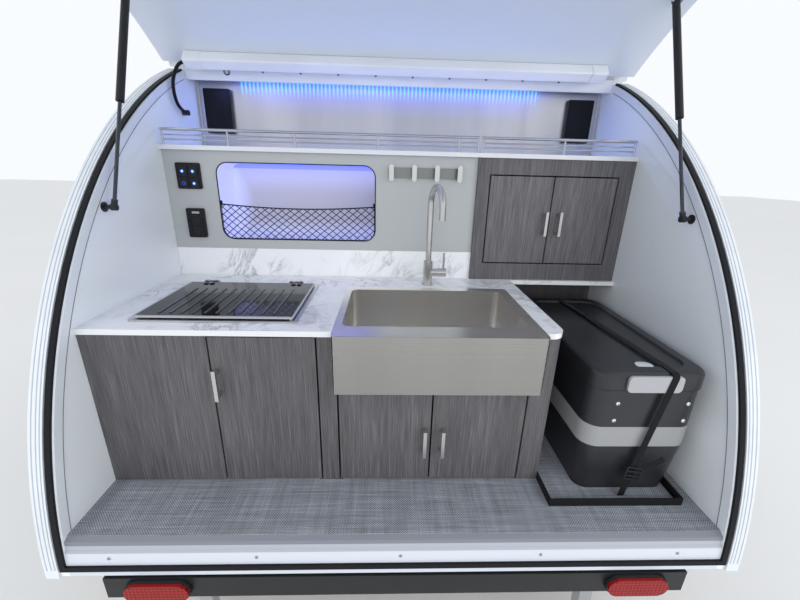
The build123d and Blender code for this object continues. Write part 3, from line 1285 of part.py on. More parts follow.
# Rear drop legs: square tube on a pin through the brackets, with a foot pad
leg_pivot_z = rail_low + 40
leg_lean = 34.0             # the foot stands this far behind its pin, so load holds it on its stop
for side, word in ((-1, "left"), (1, "right")):
    with BuildPart() as stabiliser:
        with BuildSketch(side_plane(side * leg_x - leg_tube / 2)):
            with BuildLine():
                Polyline((leg_y - leg_tube / 2, leg_pivot_z + 24), (leg_y + leg_tube / 2, leg_pivot_z + 24),
                         (leg_y + leg_tube / 2, leg_pivot_z - 30),
                         (leg_y - leg_lean + leg_tube / 2, foot_thick),
                         (leg_y - leg_lean - leg_tube / 2, foot_thick),
                         (leg_y - leg_tube / 2, leg_pivot_z - 30), close=True)
            make_face()
        extrude(amount=leg_tube)
        with Locations((side * leg_x, leg_y - leg_lean, foot_thick / 2)):
            Box(120, 120, foot_thick)
        with Locations((side * leg_x, leg_y, leg_pivot_z)):
            Cylinder(8, leg_tube + 1.4, rotation=(0, 90, 0))
    save(stabiliser, f"stabiliser_{word}")

# Tongue jack: outer tube with its head and crank, leg with a foot plate
jack_tube_low = 228.0
jack_tube_high = rail_low + tongue_tube[1] + 400
with BuildPart() as jack_tube:
    with Locations((0, jack_y, jack_tube_low)):
        Cylinder(jack_tube_r, jack_tube_high - jack_tube_low, align=(Align.CENTER, Align.CENTER, Align.MIN))
    with Locations((0, jack_y, rail_low + tongue_tube[1] + 8 + fit)):
        Cylinder(48, 8, align=(Align.CENTER, Align.CENTER, Align.MIN))
    with Locations((0, jack_y, jack_tube_high - 30)):
        Cylinder(36, 60, align=(Align.CENTER, Align.CENTER, Align.MIN))
    with Locations((0, jack_y, jack_tube_low - 1)):
        Cylinder(jack_leg_r + 1, jack_tube_high - jack_tube_low - 40,
                 align=(Align.CENTER, Align.CENTER, Align.MIN), mode=Mode.SUBTRACT)
    with Locations((0, jack_y - 60, jack_tube_high)):
        Cylinder(8, 110, rotation=(90, 0, 0))
    with Locations((0, jack_y - 110, jack_tube_high + 60)):
        Box(14, 8, 140)
    with Locations((0, jack_y - 140, jack_tube_high + 124)):
        Cylinder(11, 76, rotation=(90, 0, 0))
save(jack_tube, "jack_tube")

with BuildPart() as jack_leg:
    with Locations((0, jack_y, 0)):
        Box(130, 130, foot_thick, align=(Align.CENTER, Align.CENTER, Align.MIN))
    with Locations((0, jack_y, 2)):
        Cylinder(36, 16, align=(Align.CENTER, Align.CENTER, Align.MIN))
        Cylinder(jack_leg_r, jack_tube_low + 220, align=(Align.CENTER, Align.CENTER, Align.MIN))
save(jack_leg, "jack_leg")

# Gas bottle on the tongue's tray
bottle_z = rail_low + tongue_tube[1] + 6 + fit
with BuildPart() as gas_bottle:
    with BuildSketch(Plane(origin=(0, bottle_y, bottle_z), x_dir=(1, 0, 0), z_dir=(0, -1, 0))):
        with BuildLine():
            Polyline((0, 24), (0, 320), (40, 322))
            ThreePointArc((40, 322), (120, 298), (bottle_r, 232))
            Line((bottle_r, 232), (bottle_r, 110))
            ThreePointArc((bottle_r, 110), (120, 46), (40, 24))
            Line((40, 24), (0, 24))
        make_face()
    revolve(axis=Axis(origin=(0, bottle_y, bottle_z), direction=(0, 0, 1)))
    with BuildSketch(Plane.XY.offset(bottle_z)):
        with Locations((0, bottle_y)):
            Circle(102)
            Circle(98, mode=Mode.SUBTRACT)
    extrude(amount=45)
    with BuildSketch(Plane.XY.offset(bottle_z + 300)):
        with Locations((0, bottle_y)):
            Circle(106)
            Circle(102, mode=Mode.SUBTRACT)
    extrude(amount=145)
    with Locations((0, bottle_y - 100, bottle_z + 382)):
        Box(120, 60, 72, mode=Mode.SUBTRACT)
    with Locations((0, bottle_y, bottle_z + 318)):
        Cylinder(16, 62, align=(Align.CENTER, Align.CENTER, Align.MIN))
        Cylinder(26, 14, align=(Align.CENTER, Align.CENTER, Align.MIN))
    with Locations((0, bottle_y, bottle_z + 372)):
        Cylinder(30, 16, align=(Align.CENTER, Align.CENTER, Align.MIN))
save(gas_bottle, "gas_bottle")

# Torsion axle: square tube on two brackets, trailing arms and spindles
tube_y = axle_y + axle_lead
tube_z = rail_low - 11 - axle_tube / 2 - fit
arm_in = wheel_x - tyre_width / 2 - 42
with BuildPart() as axle:
    box_between((-arm_in + 4, arm_in - 4), (tube_y - axle_tube / 2, tube_y + axle_tube / 2),
                (tube_z - axle_tube / 2, tube_z + axle_tube / 2))
    for side in (-1, 1):
        box_between((side * rail_x - 60, side * rail_x + 60), (tube_y - 55, tube_y + 55),
                    (rail_low - 11 - fit, rail_low - fit))
        with BuildSketch(side_plane(side * (arm_in - 4))):
            with BuildLine():
                Polyline((tube_y + 42, tube_z + 42), (tube_y + 42, tube_z - 42), (axle_y - 26, tyre_r - 34),
                         (axle_y - 34, tyre_r), (axle_y - 26, tyre_r + 34), close=True)
            make_face()
        extrude(amount=side * 26)
        with BuildSketch(side_plane(side * (arm_in + 20))):
            with Locations((axle_y, tyre_r)):
                Circle(spindle_r)
        extrude(amount=side * (wheel_x + 8 - arm_in - 20))
save(axle, "axle")

# Wheels: tyre, and five-spoke rim with its hub
for side, word in ((-1, "left"), (1, "right")):
    wheel_plane = Plane(origin=(side * wheel_x, axle_y, tyre_r), x_dir=(side, 0, 0), z_dir=(0, side, 0))
    wheel_axis = Axis(origin=(side * wheel_x, axle_y, tyre_r), direction=(1, 0, 0))
    half_w = tyre_width / 2
    half_rim = rim_width / 2
    with BuildPart() as tyre:
        with BuildSketch(wheel_plane):
            with BuildLine():
                Line((-half_rim + 6, rim_r + 2), (half_rim - 6, rim_r + 2))
                Line((half_rim - 6, rim_r + 2), (half_rim - 6, rim_r + 16))
                ThreePointArc((half_rim - 6, rim_r + 16), (half_w, (rim_r + tyre_r) / 2 + 4),
                              (half_w - 22, tyre_r - 9))
                Polyline((half_w - 22, tyre_r - 9), (half_w - 34, tyre_r), (-half_w + 34, tyre_r),
                         (-half_w + 22, tyre_r - 9))
                ThreePointArc((-half_w + 22, tyre_r - 9), (-half_w, (rim_r + tyre_r) / 2 + 4),
                              (-half_rim + 6, rim_r + 16))
                Line((-half_rim + 6, rim_r + 16), (-half_rim + 6, rim_r + 2))
            make_face()
        revolve(axis=wheel_axis)
    save(tyre, f"wheel_{word}_tyre")
    with BuildPart() as rim:
        with BuildSketch(wheel_plane):
            with BuildLine():
                Polyline((-half_rim, rim_r + 14), (-half_rim, rim_r - 6), (-40, rim_r - 8), (-24, rim_r - 22),
                         (30, rim_r - 22), (44, rim_r - 8), (half_rim, rim_r - 6), (half_rim, rim_r + 14),
                         (half_rim - 5, rim_r + 14), (half_rim - 5, rim_r + 1.7),
                         (-half_rim + 5, rim_r + 1.7), (-half_rim + 5, rim_r + 14), close=True)
            make_face()
        revolve(axis=wheel_axis)
        # Disc with five windows, then the hub
        disc_plane = Plane(origin=(side * (wheel_x + 12), axle_y, tyre_r), x_dir=(0, 1, 0), z_dir=(side, 0, 0))
        with BuildSketch(disc_plane):
            Circle(rim_r - 20)
            with PolarLocations(0, 5):
                with Locations((105, 0)):
                    RectangleRounded(66, 74, 22, mode=Mode.SUBTRACT)
        extrude(amount=16)
        hub_plane = Plane(origin=(side * (wheel_x - 66), axle_y, tyre_r), x_dir=(0, 1, 0), z_dir=(side, 0, 0))
        with BuildSketch(hub_plane):
            Circle(58)
        extrude(amount=60)
        with BuildSketch(hub_plane.offset(50)):
            Circle(38)
        extrude(amount=64)
        with BuildSketch(hub_plane):
            Circle(spindle_r + 0.4)
        extrude(amount=66 + 12, mode=Mode.SUBTRACT)
    save(rim, f"wheel_{word}_rim")

# Fenders: bent sheet round the wheel, flanged to the wall, with a lip outside
fender_in = tyre_r + fender_gap
fender_rise = 18.0          # arch's centre above the wheel's
fender_lip = 34.0
fender_skirt = 90.0         # straight ends below the arch's centre


def fender_arch(inner, outer):
    """Arch band over the wheel with short straight ends."""
    centre_z = tyre_r + fender_rise
    skirt_low = centre_z - fender_skirt
    with BuildSketch() as outline:
        with BuildLine():
            for r in (inner, outer):
                Line((axle_y - r, skirt_low), (axle_y - r, centre_z))
                ThreePointArc((axle_y - r, centre_z), (axle_y, centre_z + r), (axle_y + r, centre_z))
                Line((axle_y + r, centre_z), (axle_y + r, skirt_low))
            for s in (-1, 1):
                Line((axle_y + s * inner, skirt_low), (axle_y + s * outer, skirt_low))
        make_face()
    return outline.sketch


for side, word in ((-1, "left"), (1, "right")):
    wall_face = outer_half + fit
    with BuildPart() as fender:
        with BuildSketch(side_plane(side * wall_face)):
            add(fender_arch(fender_in, fender_in + fender_thick))
        extrude(amount=side * fender_half_width)
        with BuildSketch(side_plane(side * (wall_face + fender_half_width - fender_thick))):
            add(fender_arch(fender_in - fender_lip, fender_in + fender_thick))
        extrude(amount=side * fender_thick)
    save(fender, f"fender_{word}")

# Tail lamps on the bumper
bumper_back = rail_back - bumper[1]
lamp_size = (165.0, 58.0)
lamp_depth = 18.0
lamp_x = 640.0
with BuildPart() as tail_lamps:
    for side in (-1, 1):
        with BuildSketch(Plane(origin=(side * lamp_x, bumper_back - fit, rail_low + bumper[2] / 2),
                               x_dir=(1, 0, 0), z_dir=(0, -1, 0))):
            SlotOverall(*lamp_size)
        extrude(amount=lamp_depth)
save(tail_lamps, "tail_lamps")
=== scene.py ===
"""Finishes, fittings and soft goods of the teardrop trailer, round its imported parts."""
import json
import math

import bpy
from mathutils import Matrix, Vector


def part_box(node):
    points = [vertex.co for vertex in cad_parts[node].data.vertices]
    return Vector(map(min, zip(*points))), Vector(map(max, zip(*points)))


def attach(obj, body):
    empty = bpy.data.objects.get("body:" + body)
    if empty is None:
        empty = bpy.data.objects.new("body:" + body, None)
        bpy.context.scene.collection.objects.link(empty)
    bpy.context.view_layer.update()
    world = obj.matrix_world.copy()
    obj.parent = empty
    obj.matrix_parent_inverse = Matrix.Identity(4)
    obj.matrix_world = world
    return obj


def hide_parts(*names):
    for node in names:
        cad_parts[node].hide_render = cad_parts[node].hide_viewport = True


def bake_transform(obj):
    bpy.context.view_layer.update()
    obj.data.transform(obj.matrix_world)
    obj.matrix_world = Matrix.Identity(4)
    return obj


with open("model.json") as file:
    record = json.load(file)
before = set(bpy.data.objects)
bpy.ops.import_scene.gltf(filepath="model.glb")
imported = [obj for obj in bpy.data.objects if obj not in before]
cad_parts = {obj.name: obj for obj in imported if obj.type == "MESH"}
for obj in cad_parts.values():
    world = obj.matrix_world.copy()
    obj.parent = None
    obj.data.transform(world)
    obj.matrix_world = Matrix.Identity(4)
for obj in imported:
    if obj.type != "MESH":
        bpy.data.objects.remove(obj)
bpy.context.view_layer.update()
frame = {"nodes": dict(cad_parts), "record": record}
nodes = frame["nodes"]

# Datums of the parts, in metres
galley_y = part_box("base_cabinet")[0].y          # front of the base cabinets
floor_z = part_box("galley_floor")[1].z           # top of the galley's floor
panel_low, panel_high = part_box("rear_panel")    # aluminium back panel
panel_y = panel_low.y
inner_half = panel_high.x                       # half the width between the walls
outer_half = 0.905                              # outside faces of the walls
grey_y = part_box("niche_panel")[0].y             # face of the grey panel
rear_centre = Vector((0, -0.165, 0.3935))       # middle of the walls' rear arc
rear_radius = 1.56

# Row of lamps under the header
led_first, led_last = -0.682, 0.593
led_pitch = 0.0167

# Recess in the grey panel
niche_mid = Vector((-0.390, grey_y, floor_z + 0.778))
niche_size = (0.578, 0.276)
niche_top = niche_mid.z + niche_size[1] / 2
niche_foot = niche_mid.z - niche_size[1] / 2

UP = Vector((0, 0, 1))
SIDES = (("left", -1), ("right", 1))
smooth_angle = math.radians(35)


def in_galley(x, y, z):
    """Point from the middle, the cabinets' front and the galley's floor."""
    return Vector((x, galley_y + y, floor_z + z))


def added(name, data):
    """New object in the scene."""
    made = bpy.data.objects.new(name, data)
    bpy.context.scene.collection.objects.link(made)
    return made


# Camera, at the photograph's height and angle
camera_at = Vector((-0.0516, -2.4410, 1.5082))
camera_turn = math.radians(2.083)       # to the right of straight ahead
camera_dip = math.radians(19.05)
camera_roll = math.radians(1.453)
camera_lens = 17.06                     # millimetres, on a sensor 36 wide


def place_camera():
    """Camera turned about the upright, dipped, and rolled about its own line of sight."""
    camera = added("camera", bpy.data.cameras.new("camera"))
    camera.data.lens = camera_lens
    camera.data.sensor_width = 36
    camera.data.clip_start = 0.02
    camera.matrix_world = (Matrix.Translation(camera_at) @ Matrix.Rotation(-camera_turn, 4, "Z")
                           @ Matrix.Rotation(math.pi / 2 - camera_dip, 4, "X")
                           @ Matrix.Rotation(camera_roll, 4, "Z"))
    bpy.context.scene.camera = camera


place_camera()


# Modelling helpers

def deselect():
    """Nothing selected, in object mode."""
    bpy.ops.object.select_all(action="DESELECT")


def pick(piece):
    """Only this piece selected and active."""
    deselect()
    piece.select_set(True)
    bpy.context.view_layer.objects.active = piece


def settle(piece):
    """The piece's place goes into its mesh, so that its object sits at the origin."""
    pick(piece)
    bpy.ops.object.transform_apply(location=True, rotation=True, scale=True)


def primitive(name, maker, **how):
    """New piece from one of the mesh primitives."""
    deselect()
    maker(**how)
    piece = bpy.context.object
    piece.name = name
    return piece


def choose(piece, kind, test=lambda middle, way: True):
    """Edit mode with only the faces, edges or points selected whose middle passes the test."""
    pick(piece)
    bpy.ops.object.mode_set(mode="EDIT")
    bpy.ops.mesh.select_mode(type=kind)
    bpy.ops.mesh.select_all(action="DESELECT")
    done()
    mesh = piece.data
    if kind == "FACE":
        for face in mesh.polygons:
            face.select = test(face.center, face.normal)
    elif kind == "EDGE":
        for edge in mesh.edges:
            a, b = (mesh.vertices[i].co for i in edge.vertices)
            edge.select = test((a + b) / 2, (b - a).normalized())
    else:
        for point in mesh.vertices:
            point.select = test(point.co, point.normal)
    bpy.ops.object.mode_set(mode="EDIT")


def done():
    """Back to object mode."""
    bpy.ops.object.mode_set(mode="OBJECT")


def face_out():
    """In edit mode: all faces turned outwards, and back to object mode."""
    bpy.ops.mesh.select_all(action="SELECT")
    bpy.ops.mesh.normals_make_consistent(inside=False)
    done()


def smooth(piece):
    """Smooth shading but for sharp edges."""
    pick(piece)
    bpy.ops.object.shade_smooth_by_angle(angle=smooth_angle)


def modify(piece, kind, **settings):
    """Apply one modifier with these settings."""
    pick(piece)
    modifier = piece.modifiers.new("change", kind)
    for name, value in settings.items():
        setattr(modifier, name, value)
    bpy.ops.object.modifier_apply(modifier="change")


def soften(piece, width, segments=3, angle=40):
    """Edges sharper than the angle get a round of this width, and the faces shade smooth."""
    modify(piece, "BEVEL", width=width, segments=segments, limit_method="ANGLE",
           angle_limit=math.radians(angle))
    smooth(piece)


def block(name, low, high, edge=0.0, segments=3):
    """Block between two corners, its edges rounded."""
    low, high = Vector(low), Vector(high)
    piece = primitive(name, bpy.ops.mesh.primitive_cube_add, size=1, location=(low + high) / 2,
                      scale=high - low)
    settle(piece)
    if edge:
        soften(piece, edge, segments)
    return piece


def turned(name, at, axis, rows, sides=32, closed=True):
    """Turned piece: a ring drawn out row by row; each row is (radius, distance along the axis)."""
    radius, along = rows[0]
    piece = primitive(name, bpy.ops.mesh.primitive_circle_add, vertices=sides, radius=radius,
                      location=(0, 0, along))
    settle(piece)
    choose(piece, "EDGE")
    for next_radius, next_along in rows[1:]:
        bpy.ops.mesh.extrude_edges_move(TRANSFORM_OT_translate={"value": (0, 0, next_along - along)})
        share = next_radius / radius
        bpy.ops.transform.resize(value=(share, share, 1), center_override=(0, 0, next_along))
        radius, along = next_radius, next_along
    done()
    if closed:
        for reach, end in (rows[0], rows[-1]):
            choose(piece, "EDGE", lambda middle, way: abs(middle.z - end) < 1e-6
                   and abs(way.z) < 0.01 and abs(middle.xy.length - reach) < 0.02 * reach)
            bpy.ops.mesh.edge_face_add()
            done()
    else:
        choose(piece, "EDGE", lambda middle, way: False)
        bpy.ops.mesh.select_non_manifold()
        bpy.ops.mesh.bridge_edge_loops()
        done()
    bpy.ops.object.mode_set(mode="EDIT")
    face_out()
    piece.rotation_mode = "QUATERNION"
    piece.rotation_quaternion = UP.rotation_difference(Vector(axis))
    piece.location = at
    settle(piece)
    smooth(piece)
    return piece


def smooth_curve(name, points, resolution, cyclic=False):
    """Curve along given control points."""
    curve = bpy.data.curves.new(name, "CURVE")
    curve.dimensions = "3D"
    curve.resolution_u = resolution
    spline = curve.splines.new("NURBS")
    spline.points.add(len(points) - 1)
    for point, place in zip(spline.points, points):
        point.co = (*place, 1)
    spline.order_u = 3
    spline.use_endpoint_u = not cyclic
    spline.use_cyclic_u = cyclic
    return curve


def tube(name, points, radius, sides=10, cyclic=False):
    """Round bar or cord along a smooth curve, as a mesh."""
    curve = smooth_curve(name, points, 6, cyclic)
    curve.bevel_depth = radius
    curve.bevel_resolution = max(1, sides // 4)
    curve.use_fill_caps = True
    pick(added(name, curve))
    bpy.ops.object.convert(target="MESH")
    bpy.ops.object.shade_smooth()
    return bpy.context.object


def centreline(points):
    """Points along the smooth curve that has these control points."""
    bare = bpy.data.objects.new("line", smooth_curve("line", points, 8))
    mesh = bpy.data.meshes.new_from_object(bare)
    line = [point.co.copy() for point in mesh.vertices]
    bpy.data.objects.remove(bare)
    return line


def length_of(line):
    """Length along a row of points."""
    return sum((b - a).length for a, b in zip(line, line[1:]))


def outline(name, width, height, corner):
    """Flat plate in its own X and Y with round corners."""
    piece = primitive(name, bpy.ops.mesh.primitive_plane_add, size=1)
    piece.scale = (width, height, 1)
    settle(piece)
    choose(piece, "VERT")
    bpy.ops.mesh.bevel(offset=corner, segments=8, affect="VERTICES")
    done()
    return piece


def raised(piece, thick, edge):
    """A flat outline drawn up along its Z into a closed plate, its edges rounded."""
    choose(piece, "FACE")
    bpy.ops.mesh.extrude_region_move(TRANSFORM_OT_translate={"value": (0, 0, thick)})
    face_out()
    if edge:
        soften(piece, edge, 2)
    return piece


def slab(name, width, height, thick, corner, edge=0.0):
    """Plate with round corners, thick along its own Z from 0."""
    return raised(outline(name, width, height, corner), thick, edge)


def ring(name, width, height, corner, bar, thick, edge):
    """Round-cornered frame: an outline inset by the bar's width, its middle taken out."""
    piece = outline(name, width, height, corner)
    choose(piece, "FACE")
    bpy.ops.mesh.inset(thickness=bar)
    bpy.ops.mesh.delete(type="FACE")
    done()
    return raised(piece, thick, edge)


def stand(piece, at, across, up):
    """Put a plate so that its own X and Y run across and up, with its back at a point."""
    across, up = Vector(across).normalized(), Vector(up).normalized()
    piece.data.transform(Matrix.Translation(Vector(at))
                         @ Matrix((across, up, across.cross(up))).transposed().to_4x4())
    return piece


def facing(piece, at):
    """Put a plate with its back at a point, facing the galley's user."""
    return stand(piece, at, (1, 0, 0), UP)


def copies(name, model, places):
    """The model repeated at each place (an offset, or a matrix), joined into one piece."""
    made = []
    for place in places:
        twin = added(name, model.data.copy())
        twin.data.transform(place if isinstance(place, Matrix) else Matrix.Translation(Vector(place)))
        made.append(twin)
    bpy.data.objects.remove(model)
    return joined(name, made)


def pair(name, model, away):
    """The model at this distance to the left and to the right of where it stands."""
    return copies(name, model, [(side * away, 0, 0) for _, side in SIDES])


def joined(name, pieces):
    """Several pieces as one."""
    deselect()
    for piece in pieces:
        piece.select_set(True)
    bpy.context.view_layer.objects.active = pieces[0]
    if len(pieces) > 1:
        bpy.ops.object.join()
    piece = bpy.context.object
    piece.name = name
    return piece


# Material helpers

def operator(operation):
    """One of the methods of Field: a step of arithmetic with the field as its first value."""
    return lambda field, *others: field.graph.step(operation, field, *others)


class Field:
    """A number or colour that nodes work out; arithmetic on it adds more of them."""

    def __init__(self, graph, socket):
        self.graph = graph
        self.socket = socket

    __add__, __sub__, __mul__ = operator("ADD"), operator("SUBTRACT"), operator("MULTIPLY")
    __and__, __or__, __abs__ = operator("MULTIPLY"), operator("MAXIMUM"), operator("ABSOLUTE")
    __gt__, __lt__ = operator("GREATER_THAN"), operator("LESS_THAN")

    def __rsub__(self, other):
        return self.graph.step("SUBTRACT", other, self)


class Graph:
    """A node tree to which nodes are added."""

    def __init__(self, tree):
        self.tree = tree

    def put(self, socket, value):
        """Link a socket to a field, or set it."""
        if isinstance(value, Field):
            self.tree.links.new(value.socket, socket)
        elif socket.type == "RGBA" and len(value) == 3:
            socket.default_value = (*value, 1)
        else:
            socket.default_value = value

    def node(self, kind, sockets, output=0, **settings):
        """One output of a new node with these sockets and settings."""
        made = self.tree.nodes.new("ShaderNode" + kind)
        for name, value in settings.items():
            setattr(made, name, value)
        for name, value in sockets.items():
            self.put(made.inputs[name], value)
        return Field(self, made.outputs[output])

    def step(self, operation, *values):
        """One step of arithmetic."""
        return self.node("Math", dict(enumerate(values)), operation=operation)


class Look(Graph):
    """A material whose constants sit on the shader's own sockets."""

    def __init__(self, name, colour, roughness=0.5, metallic=0.0, **sockets):
        self.name = name
        self.material = bpy.data.materials.new(name)
        self.material.use_nodes = True
        super().__init__(self.material.node_tree)
        self.shader = self.tree.nodes["Principled BSDF"]
        self.wear(Base_Color=colour, Roughness=roughness, Metallic=metallic, **sockets)

    def wear(self, **sockets):
        """Set the shader's sockets, or link them."""
        for name, value in sockets.items():
            self.put(self.shader.inputs[name.replace("_", " ")], value)

    def worn(self, name):
        """What one of the shader's sockets has so far."""
        socket = self.shader.inputs[name]
        return Field(self, socket.links[0].from_socket) if socket.links else socket.default_value

    def spots(self, scale=(1, 1, 1), turn=(0, 0, 0), shift=(0, 0, 0)):
        """The piece's own coordinates in metres, shifted, turned and then stretched."""
        own = self.node("TexCoord", {}, "Object")
        turned_spots = self.node("Mapping", {"Vector": own, "Location": shift, "Rotation": turn})
        return self.node("Mapping", {"Vector": turned_spots, "Scale": scale})

    def axes(self, vector=None):
        """X, Y and Z of a vector, or of the piece's own coordinates."""
        x = self.node("SeparateXYZ", {"Vector": vector or self.spots()})
        return [Field(self, output) for output in x.socket.node.outputs]

    def noise(self, scale, detail=3.0, roughness=0.5, distortion=0.0, at=None):
        """Cloudy noise from 0 to 1."""
        return self.node("TexNoise", {"Vector": at or self.spots(), "Scale": scale, "Detail": detail,
                                      "Roughness": roughness, "Distortion": distortion}, "Fac")

    def grain(self, stretch, detail=2.0, roughness=0.5, distortion=0.0):
        """Noise drawn out along the axes with a small stretch."""
        return self.noise(1.0, detail, roughness, distortion, self.spots(stretch))

    def ramp(self, value, *stops):
        """Colours along a value; each stop is (position, colour or grey)."""
        made = self.node("ValToRGB", {"Fac": value})
        elements = made.socket.node.color_ramp.elements
        while len(elements) < len(stops):
            elements.new(0.5)
        for element, (position, colour) in zip(elements, stops):
            element.position = position
            element.color = (*colour, 1) if isinstance(colour, tuple) else (colour, colour, colour, 1)
        return made

    def mix(self, share, a, b, blend="MIX"):
        """Colour a turning into b."""
        return self.node("Mix", {0: share, 6: a, 7: b}, 2, data_type="RGBA", blend_type=blend)

    def mottled(self, share, colour, value, *stops):
        """The colour made darker and lighter by a value's greys."""
        return self.mix(share, colour, self.ramp(value, *stops), "OVERLAY")

    def fade(self, value, start, end, low, high):
        """A number that turns smoothly from low to high as the value goes from start to end."""
        return self.node("MapRange", {0: value, 1: start, 2: end, 3: low, 4: high},
                         interpolation_type="SMOOTHSTEP")

    def rough(self, value, low, high):
        """Roughness that wanders between two values."""
        self.wear(Roughness=self.node("MapRange", {0: value, 3: low, 4: high}))

    def bumps(self, height, strength, distance):
        """Surface relief from a height."""
        sockets = {"Height": height, "Strength": strength, "Distance": distance}
        self.wear(Normal=self.node("Bump", sockets))

    def cover(self, share, colour, roughness, metallic=0.0):
        """Where the share is 1, the surface is another stuff: its colour, roughness and metal."""
        self.wear(Base_Color=self.mix(share, self.worn("Base Color"), colour))
        for name, value in (("Roughness", roughness), ("Metallic", metallic)):
            under = self.worn(name)
            if isinstance(under, Field) or abs(under - value) > 1e-6:
                self.wear(**{name: self.node("Mix", {0: share, 2: under, 3: value})})
        return self


def shade(colour, share):
    """A darker or a lighter colour."""
    return tuple(min(1, share * c) for c in colour)


# Finishes

unlit = (0.0, 0.0, 0.0)
white = (0.84, 0.88, 0.915)
skin_white = (0.68, 0.70, 0.72)
black = (0.012, 0.0125, 0.015)
along_x = (5, 900, 900)                 # brushing across the trailer


def gloss_panel(name, colour):
    """Glossy white laminate or gelcoat, faintly wavy."""
    look = Look(name, colour, 0.3, Coat_Weight=0.25, Coat_Roughness=0.08)
    look.wear(Base_Color=look.mix(look.noise(0.9, 2.0), colour, shade(colour, 0.955)))
    look.rough(look.noise(60.0, 4.0), 0.24, 0.36)
    look.bumps(look.noise(2.2, 2.0), 0.12, 0.02)
    return look


def grey_wood(name, lift=1.0):
    """Dark grey oak laminate with its grain upright; the lift makes it paler, as painted light."""
    look = Look(name, (0.08, 0.08, 0.085), 0.46, Specular_IOR_Level=0.3)
    fine = look.grain((420, 420, 7.0), 5.0, 0.7)
    streak = look.grain((60, 60, 1.6), 4.0, 0.6, 0.5)
    broad = look.grain((9, 9, 0.5), 2.0, 0.5, 0.4)
    tones = (0.28, (0.042, 0.040, 0.043)), (0.52, (0.106, 0.102, 0.109)), (0.78, (0.202, 0.196, 0.206))
    wood = look.ramp(fine, *((place, shade(tone, lift)) for place, tone in tones))
    wood = look.mottled(0.4, wood, streak, (0.3, 0.34), (0.5, 0.5), (0.72, 0.72))
    look.wear(Base_Color=look.mottled(0.3, wood, broad, (0.35, 0.36), (0.65, 0.64)))
    look.rough(fine, 0.36, 0.56)
    look.bumps(fine, 0.25, 0.0006)
    return look


def marble(name):
    """White marble laminate with steep, soft grey veins."""
    look = Look(name, (0.82, 0.82, 0.83), 0.16)
    slanted = look.spots((3.0, 11.0, 11.0), (0.3, math.radians(58), 0.55))
    cloud = look.noise(0.55, 4.0, 0.6, 0.8, slanted)
    vein = look.noise(0.9, 6.0, 0.62, 1.2, slanted)
    thin = look.ramp(abs(vein - 0.5), (0.0, 0.0), (0.016, 0.5), (0.06, 1.0))
    patch = look.ramp(look.noise(6.0, 2.0), (0.44, 0.0), (0.62, 1.0))
    colour = look.ramp(cloud, (0.30, (0.74, 0.75, 0.78)), (0.42, (0.87, 0.88, 0.90)),
                       (0.7, (0.89, 0.90, 0.92)))
    veined = look.mix(thin, (0.48, 0.49, 0.52), colour)
    look.wear(Base_Color=look.mix(patch, colour, veined))
    return look


def brushed(name, colour, scale, low=0.22, high=0.38, strength=0.18):
    """Brushed metal; the scale is smallest along the brushing."""
    look = Look(name, colour, 0.3, 1.0)
    lines = look.grain(scale, 4.0, 0.7)
    metal = look.mix(lines, colour, shade(colour, 1.14))
    bands = look.grain((7.0, 7.0, 0.8))
    look.wear(Base_Color=look.mottled(0.35, metal, bands, (0.35, 0.36), (0.65, 0.66)))
    look.rough(look.grain([s * 0.04 for s in scale]), low, high)
    look.bumps(lines, strength, 0.0004)
    return look


def plain(name, colour, roughness, grain=300.0, relief=0.0002, strength=0.2, metallic=0.0, **sockets):
    """Moulded, painted or rubber finish with a fine grain."""
    look = Look(name, colour, roughness, metallic, **sockets)
    fine, wide = look.noise(grain), look.noise(grain * 0.03, 2.0)
    look.wear(Base_Color=look.mix(wide, shade(colour, 0.88), shade(colour, 1.1)))
    look.rough(fine, max(0.03, roughness - 0.06), min(1, roughness + 0.06))
    look.bumps(fine, strength, relief)
    return look


def paint(name, colour, roughness=0.35):
    """Plain finish with hardly any grain."""
    return plain(name, colour, roughness, 200.0)


def fastener(name, colour, roughness=0.35, metallic=0.8):
    """Smooth metal of a small fastener."""
    return plain(name, colour, roughness, 200.0, 0.0001, 0.05, metallic)


def woven_floor(name):
    """Woven vinyl: short grey threads crossing in a basket, with streaks across the floor."""
    look = Look(name, (0.2, 0.21, 0.23), 0.62)
    cell = 0.0034
    flat = look.spots((1 / cell, 1 / cell, 0.0))
    checks = look.node("TexChecker", {"Vector": flat, "Scale": 1.0}, "Fac")
    across = look.grain((6, 300, 0), 3.0, 0.7)
    along = look.grain((300, 6, 0), 3.0, 0.7)
    light = look.ramp(across, (0.3, (0.18, 0.19, 0.215)), (0.7, (0.57, 0.60, 0.66)))
    dark = look.ramp(along, (0.3, (0.060, 0.065, 0.075)), (0.7, (0.28, 0.30, 0.335)))
    streak = look.grain((2.2, 70, 0), 4.0, 0.65)
    stripe = look.grain((45, 1.5, 0), 3.0, 0.6)
    threads = look.mottled(0.42, look.mix(checks, light, dark), streak, (0.3, 0.30), (0.7, 0.72))
    look.wear(Base_Color=look.mottled(0.42, threads, stripe, (0.35, 0.38), (0.65, 0.64)))
    swell, dip = (abs(look.step("SINE", axis * math.pi)) for axis in look.axes(flat)[:2])
    look.bumps(swell | dip, 0.4, 0.0006)
    return look


